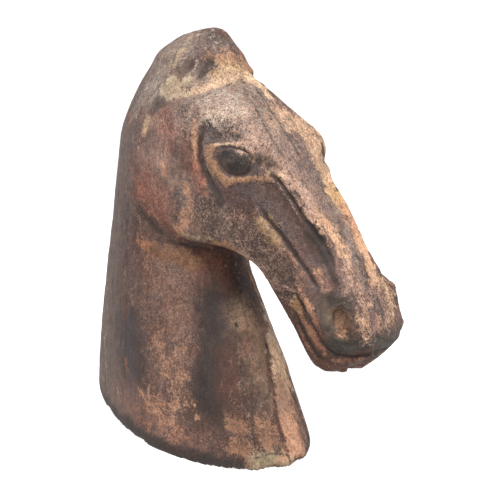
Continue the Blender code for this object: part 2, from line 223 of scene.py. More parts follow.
# The bump, in millimetres, and the gloss
BUMP_REACH = 1.1
BUMP_STRENGTH = 0.8
GLOSS = 0.22

# The Mix node's sockets: first, second, result
MIX_SOCKETS = {"RGBA": (6, 7, 2), "FLOAT": (2, 3, 0)}

# The sRGB curve
CURVE_KNEE = 0.04045
CURVE_SLOPE = 12.92
CURVE_LIFT = 0.055
CURVE_POWER = 2.4

# Fields of the face that get a mesh twice as fine: least and most along, least and most out
FINE_FIELDS = {
    "brows and eyes": (26.0, 84.0, -14.0, 36.0),
    "ridge": (84.0, 160.0, 4.0, 36.0),
    "nostrils and mouth": (138.0, 208.0, -18.0, 38.0),
}

# Tool work that sharpens the solid's own carving, on both sides of the head: reach and height
# in millimetres, share that fades in, share that fades out, then the pixels it runs through
FACE_CUTS = {
    "brow roof": (5.5, -1.5, 0.2, 0.2, (207, 132), (216, 138), (228, 138), (240, 140), (251, 147)),
    "eyeball": (10.0, 1.9, 0.0, 0.0, (232, 160), (239, 161)),
    "ball rim": (1.9, -1.2, 0.0, 0.0, (219, 151), (218, 157), (221, 166), (227, 173), (236, 176),
        (246, 174), (251, 168), (253, 160), (249, 153), (240, 148), (230, 146), (219, 151)),
    "upper lid": (2.0, 1.5, 0.1, 0.1, (211, 146), (220, 143), (228, 143), (237, 144), (246, 147),
        (253, 153), (256, 160)),
    "lower lid": (4.0, 0.9, 0.1, 0.2, (211, 152), (213, 164), (219, 175), (228, 182), (242, 181),
        (257, 176), (268, 177)),
    "cheekbone crease": (4.2, -2.2, 0.2, 0.3, (206, 124), (202, 132), (199, 143), (200, 155), (203, 167),
        (208, 177), (214, 187), (221, 198)),
    "crease bank": (4.0, 0.7, 0.2, 0.3, (196, 124), (193, 140), (194, 156), (197, 172), (203, 186)),
    "front hollow": (4.5, -1.5, 0.2, 0.2, (255, 162), (263, 166), (271, 171)),
    "ridge edge": (3.8, 1.5, 0.1, 0.2, (277, 171), (288, 180), (296, 190), (303, 200), (309, 210),
        (315, 220), (322, 230), (329, 240), (335, 250), (339, 260), (342, 270)),
    "ridge undercut": (3.0, -2.8, 0.1, 0.2, (271, 174), (278, 180), (286, 190), (293, 200), (299, 210),
        (305, 220), (312, 230), (319, 239), (326, 248), (331, 258), (334, 270), (336, 280)),
    "panel hollow": (8.5, -1.5, 0.2, 0.2, (276, 196), (288, 214), (299, 232), (310, 252), (322, 272)),
    "panel groove": (2.6, -2.2, 0.2, 0.1, (254, 202), (261, 210), (268, 220), (277, 230), (285, 240),
        (292, 250), (299, 260), (306, 270), (313, 281), (319, 291)),
    "groove bank": (4.6, 1.1, 0.2, 0.2, (249, 208), (259, 220), (268, 232), (277, 243), (286, 255),
        (295, 268), (305, 283)),
    "nostril lobe": (5.5, 1.7, 0.0, 0.0, (325, 305), (325, 314), (328, 324)),
    "nostril arch": (4.0, 1.5, 0.1, 0.1, (328, 299), (338, 296), (349, 298), (356, 305), (358, 314)),
    "nostril hollow": (6.5, -2.8, 0.0, 0.0, (342, 316), (344, 331)),
    "nostril cut": (2.3, -1.1, 0.1, 0.1, (345, 307), (338, 308), (335, 313), (334, 322), (338, 332)),
    "nostril foot": (4.5, 0.9, 0.1, 0.1, (326, 334), (336, 338), (350, 340)),
    "upper lip edge": (3.2, 1.1, 0.1, 0.1, (304, 297), (311, 311), (318, 323), (326, 336), (335, 345),
        (350, 350), (366, 348), (380, 344)),
    "upper lip line": (2.4, -2.4, 0.1, 0.0, (295, 294), (300, 303), (305, 313), (313, 327), (321, 340),
        (329, 350), (337, 355), (352, 358), (366, 356), (376, 353), (388, 349)),
    "lip roll": (2.4, 0.9, 0.1, 0.1, (298, 309), (305, 325), (313, 340), (322, 352), (334, 360),
        (352, 363)),
    "lower lip line": (2.2, -1.7, 0.1, 0.2, (295, 313), (300, 325), (306, 338), (313, 349), (321, 358),
        (331, 364)),
    "mouth corner": (4.5, -1.4, 0.2, 0.2, (281, 293), (293, 297)),
    "chin front": (8.0, -3.0, 0.1, 0.1, (346, 374), (358, 369), (368, 364), (374, 358)),
    "jowl edge": (4.2, -1.8, 0.2, 0.2, (134, 196), (139, 208), (145, 218), (155, 229), (168, 237)),
    "jowl swell": (16.0, 1.0, 0.0, 0.0, (160, 200), (172, 212)),
    "crest ledge": (5.0, -0.6, 0.2, 0.4, (158, 92), (168, 94), (182, 95), (200, 91), (218, 84),
        (236, 79), (246, 79)),
    "crest brow": (5.5, 1.0, 0.2, 0.1, (166, 84), (184, 84), (204, 80), (222, 73), (240, 68),
        (253, 73)),
    "neck column": (15.0, -1.6, 0.2, 0.2, (206, 275), (208, 320), (202, 370), (197, 420)),
    "neck front": (14.0, 0.9, 0.2, 0.2, (248, 300), (256, 350), (260, 400)),
    "neck edge": (3.4, -1.6, 0.2, 0.0, (264, 330), (269, 360), (274, 392), (280, 425), (289, 455)),
    "ridge recess": (7.0, -1.3, 0.2, 0.2, (312, 234), (322, 246), (328, 258), (332, 270)),
    "crest foot": (7.5, 2.4, 0.0, 0.0, (254, 77), (257, 82), (262, 88)),
    "crest lip": (11.0, -2.6, 0.0, 0.0, (252, 64), (256, 74)),
}

# Shallow scratches, lines, flakes and dents: reach, height, then the pixels they run through
PIXEL_STROKES = {
    "forelock line one": (1.9, -0.45, (244, 80), (252, 90), (261, 102), (269, 114)),
    "forelock line two": (1.9, -0.4, (238, 88), (247, 99), (257, 113), (266, 128)),
    "front band edge": (2.0, -0.5, (250, 108), (259, 121), (270, 137), (281, 152), (291, 167)),
    "front band line one": (1.7, -0.35, (258, 112), (268, 128), (280, 146), (294, 167), (304, 182)),
    "front band line two": (1.7, -0.35, (265, 116), (276, 133), (289, 153), (304, 176), (316, 195)),
    "far ridge line": (1.9, -0.4, (290, 140), (304, 160), (318, 184), (333, 212)),
    "jaw line one": (1.8, -0.5, (180, 238), (198, 243)),
    "neck crack one": (2.0, -0.9, (267, 342), (270, 391), (276, 419), (287, 453)),
    "neck crack two": (1.9, -0.8, (251, 377), (252, 419), (255, 447)),
    "neck streak one": (2.6, -0.5, (228, 262), (236, 292), (238, 330), (236, 380)),
    "neck streak two": (2.8, -0.4, (190, 290), (196, 350), (200, 410)),
    "neck streak three": (2.8, -0.4, (150, 262), (152, 320), (158, 380)),
    "mane streak one": (2.6, -0.4, (122, 150), (117, 220), (113, 300), (111, 380)),
    "mane streak two": (2.6, -0.4, (134, 140), (128, 215), (127, 300), (126, 390)),
    "muzzle crack": (1.8, -0.7, (377, 336), (385, 340), (393, 341)),
    "muzzle groove": (2.4, -0.8, (358, 296), (362, 316), (366, 336)),
    "muzzle dent": (3.6, -0.8, (372, 309), (378, 314)),
    "round mark": (2.6, -0.7, (357, 257), (359, 259)),
    "crest flake one": (3.2, -0.8, (203, 66), (211, 62)),
    "crest flake two": (2.2, -0.6, (222, 60), (226, 64)),
    "crest flake three": (2.2, -0.6, (238, 62), (243, 66)),
    "neck pit one": (2.0, -0.8, (241, 290), (241, 292)),
    "neck pit two": (2.0, -0.8, (237, 324), (237, 326)),
    "neck pit three": (2.2, -0.8, (267, 344), (267, 347)),
    "base flake": (6.0, -1.2, (258, 465), (270, 462), (280, 456)),
    "muzzle notch one": (4.0, -1.2, (396, 300), (397, 303)),
    "muzzle notch two": (5.0, -1.2, (384, 272), (388, 277)),
    "chin bump": (4.0, 0.8, (326, 372), (342, 372)),
    "crest front": (14.0, -2.0, (238, 40), (248, 60), (256, 76)),
    "brow notch": (4.5, -1.2, (323, 156), (325, 162)),
    "ear hollow": (5.5, -1.8, (178, 72), (185, 69), (190, 66)),
    "ear rim": (3.0, 0.7, (172, 78), (180, 80), (188, 76), (194, 68)),
    "lip notch": (3.2, -1.6, (374, 357), (377, 354)),
}

# Colours as they look in sRGB
COLOURS = {
    "mauve brown": (142, 110, 99),
    "dark brown": (80, 61, 54),
    "purple brown": (88, 67, 67),
    "panel brown": (104, 83, 77),
    "grey brown": (112, 98, 92),
    "slate": (78, 70, 70),
    "blue slate": (68, 64, 67),
    "soot": (48, 41, 39),
    "eye black": (46, 42, 40),
    "olive dark": (68, 62, 56),
    "olive brown": (156, 122, 94),
    "red brown": (104, 66, 55),
    "deep red": (72, 44, 37),
    "red": (164, 96, 80),
    "salmon": (182, 118, 98),
    "tan": (158, 118, 94),
    "green tan": (168, 138, 102),
    "peach": (206, 156, 126),
    "pink cream": (214, 176, 156),
    "cream": (226, 186, 152),
    "ivory": (196, 182, 168),
    "yellow cream": (228, 184, 130),
    "green cream": (178, 160, 130),
    "ochre": (174, 132, 98),
    "orange": (184, 126, 90),
    "mauve": (146, 116, 110),
    "grey mauve": (132, 116, 110),
    "grey": (144, 130, 120),
    "pale grey": (182, 172, 160),
    "clay": (110, 83, 73),
    "clay deep": (74, 57, 50),
    "clay pale": (140, 108, 92),
    "light speck": (216, 178, 154),
    "dark speck": (50, 38, 34),
    # The dark of the lines, partly painted shade in creases and hollows
    "groove": (62, 55, 52),
    # Ochre darkened for painted shade
    "shaded ochre": (126, 90, 66),
    "jowl mauve": (186, 150, 134),
    "lip brown": (92, 60, 50),
    "pale mauve": (160, 145, 136),
    "bone": (232, 206, 184),
    "lobe green": (112, 104, 92),
    "patch grey": (160, 142, 131),
    "soft mauve": (166, 148, 136),
    "throat red": (136, 90, 74),
    "crack brown": (92, 70, 60),
    "strip tan": (166, 130, 110),
    "rose grey": (174, 147, 136),
    "bright cream": (246, 208, 172),
    "front brown": (160, 132, 110),
    "band grey": (140, 124, 114),
    "flap cream": (202, 182, 154),
    "fleck cream": (204, 172, 138),
    "lip tan": (152, 108, 84),
    "mauve grey": (142, 120, 113),
    "band peach": (242, 192, 153),
    "crest tan": (180, 134, 100),
}

# The first coat, broad and soft: colour, width in pixels, cover from 0 to 1, then the pixels
# the brush runs through, in the order of painting
GROUND = {
    "mane back": ("grey brown", 64, 0.9, (150, 50), (128, 110), (113, 180), (107, 250), (102, 330),
        (101, 400)),
    "mane": ("grey brown", 40, 0.9, (152, 58), (138, 85), (128, 120), (119, 180), (114, 250), (110, 330),
        (112, 395)),
    "mane dark": ("slate", 16, 0.75, (137, 122), (133, 150), (131, 190), (129, 240), (132, 290)),
    "mane light": ("grey", 14, 0.65, (158, 74), (147, 92), (139, 106)),
    "crest": ("grey mauve", 46, 0.9, (182, 52), (205, 42), (228, 52)),
    "crest slate": ("olive dark", 18, 0.8, (212, 29), (226, 40), (240, 58)),
    "crest middle": ("slate", 12, 0.6, (194, 60), (204, 48), (210, 38)),
    "ear socket": ("deep red", 11, 0.97, (178, 72), (185, 69), (191, 66)),
    "crest black": ("soot", 9, 0.95, (199, 77), (206, 67), (212, 57)),
    "jowl": ("jowl mauve", 76, 0.85, (168, 140), (168, 180), (180, 215)),
    "jowl top": ("olive dark", 18, 0.88, (156, 102), (168, 103), (182, 107), (196, 112)),
    "jowl purple": ("purple brown", 16, 0.65, (140, 138), (152, 142)),
    "jowl red": ("red", 24, 0.92, (168, 116), (173, 124), (176, 134)),
    "jowl band": ("grey brown", 13, 0.45, (184, 120), (180, 145), (174, 172), (180, 190)),
    "orbit red": ("red", 10, 0.75, (190, 128), (194, 150), (195, 172), (200, 190)),
    "jowl red low": ("red", 34, 0.8, (146, 192), (155, 204), (161, 219)),
    "jowl grey": ("slate", 11, 0.8, (177, 196), (175, 216)),
    "jowl grey two": ("slate", 11, 0.65, (198, 204), (196, 220)),
    "cheek": ("grey brown", 56, 0.75, (226, 214), (252, 232), (276, 262)),
    "cheek red": ("red brown", 22, 0.7, (240, 208), (256, 217)),
    "below the eye": ("purple brown", 24, 0.85, (222, 197), (240, 193), (262, 199)),
    "below the eye slate": ("blue slate", 11, 0.85, (244, 188), (264, 193)),
    "cheek olive": ("olive dark", 14, 0.85, (209, 206), (212, 220)),
    "cheek soot": ("soot", 9, 0.8, (206, 232), (216, 237)),
    "cheek blot": ("dark brown", 13, 0.8, (247, 236), (259, 238)),
    "cheek low": ("dark brown", 24, 0.7, (262, 247), (272, 259), (285, 274)),
    # Painted shadow under the jowl's undercut lower edge
    "jaw behind": ("olive dark", 14, 0.92, (140, 213), (152, 227), (168, 239)),
    "behind the jaw": ("red brown", 14, 0.7, (134, 226), (142, 246)),
    "forehead": ("pale mauve", 56, 0.9, (204, 104), (230, 108), (250, 124)),
    "forehead left": ("grey brown", 20, 0.6, (192, 104), (206, 118)),
    # Blue slate above the eye: partly dark paint, partly painted shade in the hollow under the brow
    "above the eye": ("blue slate", 16, 0.95, (208, 128), (216, 133), (228, 134), (240, 137)),
    "front": ("grey mauve", 40, 0.85, (262, 112), (282, 142), (302, 170), (318, 196)),
    "front band": ("slate", 10, 0.6, (252, 108), (262, 124), (276, 146), (292, 168)),
    "far brow": ("mauve", 28, 0.75, (290, 118), (308, 130), (318, 150)),
    "brow front": ("soot", 12, 0.75, (254, 156), (267, 164), (275, 169)),
    "eye corner": ("purple brown", 8, 0.85, (217, 151), (219, 160)),
    "eyeball": ("eye black", 22, 1.0, (232, 159), (239, 161)),
    "panel": ("panel brown", 36, 0.97, (276, 196), (292, 218), (308, 243), (326, 274)),
    "panel slate": ("slate", 14, 0.75, (262, 207), (273, 220), (288, 240)),
    "panel red": ("purple brown", 16, 0.6, (300, 240), (314, 256)),
    "ridge shadow": ("olive dark", 17, 0.97, (315, 236), (325, 247), (330, 258), (334, 273)),
    "nose grey": ("patch grey", 16, 0.95, (336, 213), (343, 226), (349, 240), (352, 256)),
    "muzzle": ("mauve", 50, 0.7, (344, 288), (368, 306)),
    "nose foot": ("mauve brown", 22, 0.7, (344, 270), (352, 288)),
    "lips": ("lip brown", 30, 0.9, (292, 308), (304, 330), (318, 350), (336, 362), (366, 357)),
    "lips dark": ("dark brown", 10, 0.7, (288, 302), (296, 324), (306, 346), (318, 362)),
    "mouth corner": ("soot", 9, 0.92, (279, 292), (293, 296)),
    "nostril lobe": ("lobe green", 14, 0.97, (326, 305), (327, 316), (329, 327)),
    "nostril top": ("olive dark", 14, 0.97, (330, 301), (342, 299), (352, 304)),
    "nostril": ("olive brown", 17, 0.97, (342, 317), (344, 331)),
    "muzzle end": ("olive dark", 22, 0.99, (334, 346), (352, 348), (374, 347)),
    "muzzle soot": ("soot", 12, 0.5, (350, 334), (368, 346), (390, 344)),
    "muzzle patch": ("slate", 10, 0.85, (357, 265), (360, 275), (364, 286)),
    "muzzle slate": ("slate", 9, 0.9, (374, 303), (379, 312)),
    "chin": ("red brown", 12, 0.9, (322, 366), (340, 366), (362, 358), (374, 352)),
    "neck": ("dark brown", 110, 0.8, (160, 290), (172, 350), (196, 420)),
    "neck brown": ("mauve brown", 56, 0.75, (160, 280), (176, 320), (174, 370)),
    "neck reddish": ("red brown", 22, 0.6, (140, 258), (146, 280)),
    # Blue slate on the neck's left: partly dark paint, partly painted shade of the side turned from the
    # lamps
    "neck dark left": ("blue slate", 36, 0.96, (127, 326), (131, 356), (127, 388)),
    "neck soot left": ("soot", 16, 0.55, (140, 350), (142, 380)),
    # Deep red under the jaw: partly soot on the clay, partly painted shadow under the jaw's overhang
    "under the jaw": ("deep red", 12, 0.97, (184, 246), (206, 250), (230, 257)),
    "throat": ("throat red", 32, 0.95, (211, 266), (218, 282)),
    "neck column": ("soot", 32, 0.98, (215, 296), (216, 330), (210, 372), (206, 412)),
    "neck column slate": ("slate", 16, 0.3, (216, 320), (212, 380)),
    "neck strip": ("soot", 10, 0.92, (234, 260), (238, 285), (236, 306)),
    "neck front": ("front brown", 36, 0.95, (249, 320), (255, 350), (263, 388)),
    "neck front top": ("slate", 14, 0.7, (246, 286), (252, 304)),
    "neck front dark": ("dark brown", 30, 0.85, (224, 350), (236, 390), (244, 424)),
    "neck front red": ("red brown", 16, 0.3, (228, 352), (233, 376), (232, 400)),
    "front foot": ("dark brown", 20, 0.75, (254, 398), (256, 450)),
    "foot": ("mauve brown", 44, 0.8, (122, 398), (150, 425), (190, 446)),
    "foot dark": ("dark brown", 22, 0.6, (196, 425), (214, 452)),
    "rim": ("soot", 12, 0.95, (128, 421), (138, 433), (152, 444), (172, 453), (197, 459), (224, 463)),
    "muzzle lobe": ("olive dark", 14, 0.98, (382, 341), (394, 337)),
    "front plane": ("salmon", 20, 0.9, (269, 320), (277, 352), (285, 400), (293, 448)),
    "crest left": ("soft mauve", 34, 0.85, (152, 86), (162, 66), (178, 48)),
    # Painted shadow at the top of the ridge's undercut
    "undercut top": ("olive dark", 11, 0.9, (272, 173), (282, 183), (291, 195)),
    "jowl red column": ("red brown", 14, 0.6, (188, 132), (190, 146), (186, 168)),
    "muzzle end right": ("olive dark", 15, 0.98, (374, 351), (384, 347), (393, 341), (398, 334)),
    "mane red": ("red brown", 9, 0.7, (124, 304), (126, 318)),
}

# The second coat, worn to patches and specks: the same columns, but the cover says how much
# of it the wear has left
TOP = {
    "crest streak": ("green cream", 10, 0.55, (189, 36), (181, 50), (173, 64)),
    "crest light": ("ivory", 16, 0.12, (198, 34), (210, 42), (222, 50)),
    "crest pink": ("pink cream", 16, 0.25, (160, 64), (170, 54), (180, 70)),
    "crest orange": ("crest tan", 19, 0.62, (218, 64), (232, 60), (248, 67)),
    "crest edge": ("cream", 7, 0.92, (212, 77), (232, 70), (250, 75)),
    "ear rim": ("ivory", 4, 0.72, (193, 72), (197, 62)),
    "behind the crease": ("pale grey", 18, 0.5, (148, 90), (162, 88), (174, 93)),
    "mane top": ("pale grey", 14, 0.3, (158, 74), (146, 94), (136, 112)),
    "forehead": ("soft mauve", 42, 0.9, (214, 97), (228, 98), (243, 108)),
    "forehead grey": ("soft mauve", 16, 0.8, (229, 84), (243, 84)),
    # Painted highlight on top of the forehead's dome
    "dome": ("bone", 18, 0.75, (214, 116), (230, 114), (246, 110)),
    "dome peach": ("peach", 10, 0.7, (248, 117), (256, 126)),
    "beside the band": ("yellow cream", 8, 0.85, (267, 117), (277, 131)),
    "front specks": ("rose grey", 30, 0.84, (262, 122), (280, 146), (296, 168)),
    "far brow": ("cream", 30, 0.72, (284, 118), (300, 124), (313, 136), (318, 150)),
    "brow specks": ("pink cream", 20, 0.84, (244, 140), (258, 149), (274, 162)),
    # Painted highlight along the upper lid's ridge
    "upper lid": ("bright cream", 2.2, 1.1, (212, 145), (220, 144), (228, 144), (237, 145), (245, 148),
        (251, 154), (254, 160)),
    "lid band": ("ochre", 7, 0.88, (209, 147), (211, 162), (218, 176), (227, 183), (242, 181),
        (258, 177), (272, 178)),
    "lid band rear": ("ochre", 8, 0.8, (211, 150), (214, 166), (221, 178)),
    "orbit peach": ("peach", 5, 0.78, (194, 121), (196, 138), (196, 158)),
    "orbit salmon": ("salmon", 9, 0.55, (194, 160), (198, 178), (204, 190)),
    "jowl patch": ("peach", 8, 0.8, (162, 164), (165, 169)),
    "jowl edge": ("orange", 6, 0.5, (138, 178), (141, 192), (145, 200)),
    "jowl salmon": ("salmon", 30, 0.3, (149, 196), (160, 212)),
    "jowl cream": ("peach", 10, 0.72, (186, 188), (190, 198), (188, 210), (184, 222), (179, 232)),
    "jowl foot": ("peach", 5, 0.75, (177, 229), (178, 236)),
    "jowl back": ("salmon", 10, 0.35, (143, 244), (152, 252)),
    "mane fleck one": ("salmon", 5, 0.5, (131, 111), (129, 122)),
    "mane fleck two": ("fleck cream", 8, 0.9, (147, 121), (145, 133)),
    "mane fleck three": ("tan", 4, 0.85, (128, 161), (131, 169)),
    "mane fleck four": ("tan", 4, 0.7, (138, 178), (139, 185)),
    "cheek specks": ("pink cream", 42, 0.22, (218, 210), (242, 222), (266, 244)),
    "cheek peach": ("peach", 12, 0.32, (244, 209), (256, 214)),
    "cheek ochre": ("green tan", 13, 0.85, (265, 227), (275, 239)),
    "cheek edge": ("tan", 16, 0.4, (286, 252), (298, 272)),
    "cheek foot": ("peach", 10, 0.66, (299, 281), (306, 298), (312, 314), (317, 328)),
    "jaw edge": ("ochre", 6, 0.82, (212, 243), (226, 244), (240, 252)),
    "jaw line": ("green cream", 2.5, 0.75, (180, 234), (196, 238), (213, 239)),
    "jaw pink": ("pink cream", 12, 0.45, (244, 256), (262, 270), (276, 286), (288, 292)),
    "ridge": ("pink cream", 20, 0.88, (285, 172), (293, 181), (301, 190), (308, 200), (314, 210),
        (319, 219)),
    "ridge clean": ("band peach", 17, 0.97, (321, 218), (329, 228), (336, 239), (342, 250), (346, 259),
        (348, 268)),
    "ridge foot": ("pink cream", 20, 0.66, (347, 266), (351, 284)),
    "ridge top": ("cream", 6, 0.85, (273, 173), (281, 177)),
    "far edge": ("cream", 19, 0.8, (318, 158), (325, 175), (331, 190), (336, 198)),
    "far edge yellow": ("yellow cream", 16, 0.9, (333, 193), (342, 207)),
    "far edge peach": ("peach", 16, 0.8, (346, 211), (352, 222), (358, 236)),
    "far edge orange": ("orange", 6, 0.8, (356, 241), (360, 246)),
    "muzzle band": ("band peach", 16, 0.93, (361, 244), (366, 256), (370, 268), (374, 279)),
    "pitted top": ("cream", 14, 0.6, (380, 280), (388, 290), (391, 302)),
    "pitted foot": ("cream", 13, 0.62, (391, 304), (391, 318), (385, 328)),
    "muzzle middle": ("cream", 15, 0.62, (363, 302), (365, 322), (369, 336)),
    "muzzle middle light": ("peach", 9, 0.5, (362, 312), (368, 330), (374, 337)),
    "muzzle far": ("peach", 9, 0.8, (378, 318), (380, 330)),
    # Painted light on the lower wall of the nostril's hollow
    "nostril light": ("peach", 7, 0.85, (336, 325), (340, 331), (345, 332)),
    "mouth": ("ochre", 9, 0.82, (293, 302), (298, 311)),
    "upper lip red": ("salmon", 6, 0.75, (316, 320), (321, 336)),
    "lip stripe": ("lip tan", 5, 0.85, (302, 318), (312, 336), (325, 353)),
    "lip stripe two": ("lip tan", 4, 0.55, (298, 326), (306, 345), (316, 359)),
    "chin light": ("tan", 5, 0.55, (334, 361), (352, 361), (368, 354)),
    "below the panel": ("peach", 9, 0.75, (316, 272), (325, 286)),
    "below the panel pink": ("mauve", 14, 0.5, (328, 283), (342, 288)),
    "neck tan": ("tan", 52, 0.26, (160, 270), (174, 300), (172, 345)),
    "neck peach": ("peach", 32, 0.42, (158, 344), (169, 356), (178, 376), (176, 400)),
    "neck orange": ("orange", 14, 0.62, (140, 243), (152, 250)),
    # Ochre darkened as painted shade below the jaw's edge
    "below the jaw": ("shaded ochre", 16, 0.8, (156, 249), (176, 256), (200, 263)),
    "neck streak": ("peach", 6, 0.7, (193, 395), (197, 419)),
    "foot cream": ("peach", 26, 0.52, (150, 402), (162, 418), (174, 433)),
    "foot pink": ("salmon", 26, 0.28, (128, 396), (146, 424), (184, 446)),
    "mane fleck five": ("tan", 8, 0.85, (126, 359), (127, 370)),
    "mane fleck six": ("green cream", 5, 0.8, (117, 387), (118, 395)),
    "mane edge": ("green cream", 5, 0.5, (108, 306), (105, 345), (108, 396)),
    "mane strip": ("green cream", 5, 0.3, (113, 256), (110, 294)),
    "front salmon": ("bone", 14, 0.85, (264, 308), (271, 326), (275, 344)),
    "front cream": ("bright cream", 20, 0.95, (276, 352), (281, 370), (286, 389)),
    "front pink": ("strip tan", 20, 0.85, (283, 392), (288, 414)),
    "front foot cream": ("peach", 20, 0.8, (290, 424), (293, 440), (297, 449)),
    "throat edge": ("peach", 6, 0.72, (249, 272), (256, 290), (263, 308)),
    "foot patch one": ("tan", 14, 0.75, (233, 424), (244, 430)),
    "foot patch two": ("tan", 17, 0.68, (237, 447), (251, 455)),
    "foot patch three": ("tan", 15, 0.66, (262, 424), (269, 444)),
    "base flake": ("green cream", 15, 0.95, (258, 463), (272, 461), (284, 458)),
    "base peach": ("peach", 7, 0.85, (283, 458), (291, 452)),
    "column specks": ("tan", 30, 0.08, (205, 310), (208, 370), (214, 420)),
    "front specks low": ("tan", 30, 0.18, (238, 350), (250, 390)),
    "crest orange light": ("yellow cream", 10, 0.5, (216, 69), (232, 66), (250, 73)),
    "forehead light": ("ivory", 26, 0.45, (222, 98), (236, 106)),
    "front band grey": ("band grey", 13, 0.8, (236, 84), (247, 98), (258, 114), (268, 130), (278, 146)),
    "crest left light": ("green cream", 20, 0.3, (156, 78), (166, 62), (178, 52)),
    "crease band": ("bright cream", 9, 0.95, (176, 94), (188, 94), (202, 89), (216, 83), (232, 77),
        (250, 78), (262, 87), (271, 98)),
    "ear flap": ("flap cream", 9, 0.95, (169, 79), (178, 86), (187, 80)),
    "ear flap foot": ("flap cream", 11, 0.9, (164, 90), (177, 92), (187, 93)),
    "front mauve": ("mauve grey", 15, 0.85, (302, 166), (311, 182), (322, 200), (331, 216)),
    "neck front tan": ("front brown", 20, 0.6, (236, 316), (250, 320)),
    "neck front light": ("tan", 24, 0.24, (246, 336), (256, 366)),
    "muzzle grey": ("band grey", 8, 0.9, (356, 264), (359, 273), (362, 282)),
}

# Where the slip has crazed into fine light specks: width, strength, path
CRAZED = {
    "forehead": (60, 1.0, (200, 100), (226, 106), (252, 124)),
    "front": (44, 1.0, (262, 118), (284, 150), (306, 182), (322, 208)),
    "brow": (30, 1.0, (240, 142), (258, 152), (276, 168)),
    "far brow": (30, 0.9, (290, 118), (312, 136)),
    "cheek": (50, 0.7, (216, 212), (244, 226), (272, 256)),
    "ridge": (16, 0.8, (280, 176), (304, 204), (322, 232)),
    "ridge foot": (26, 1.0, (346, 266), (356, 296)),
    "muzzle": (34, 0.9, (368, 280), (388, 310), (370, 330)),
    "crest": (24, 0.7, (216, 66), (244, 70)),
    "neck": (56, 0.3, (168, 290), (180, 340)),
    "jaw": (22, 0.7, (250, 262), (284, 290)),
}

# Where the surface stays calm, without the light specks: width, strength, path
QUIET = {
    "eyeball": (30, 1.0, (232, 159), (239, 161)),
    "panel": (36, 0.5, (276, 200), (292, 222), (308, 245), (326, 276)),
    "muzzle end": (24, 1.0, (330, 345), (352, 348), (374, 346), (394, 337)),
    "nostril": (20, 0.9, (325, 304), (327, 318), (332, 332)),
    "below the eye": (20, 0.7, (222, 196), (262, 194)),
    "neck column": (30, 0.85, (217, 290), (212, 372), (205, 412)),
    "mane": (30, 0.6, (119, 180), (112, 395)),
    "ridge shadow": (16, 0.9, (315, 236), (325, 247), (330, 258), (334, 270)),
    "nostril top": (14, 0.9, (328, 301), (342, 298), (354, 303)),
    "ear socket": (10, 0.8, (178, 72), (190, 66)),
    "muzzle end right": (15, 1.0, (376, 350), (393, 341), (398, 334)),
    "above the eye": (14, 0.6, (209, 129), (228, 134), (240, 137)),
    "ridge clean": (14, 0.8, (329, 228), (336, 239), (342, 250), (346, 260)),
    "neck dark left": (30, 0.6, (128, 326), (132, 356), (127, 386)),
}

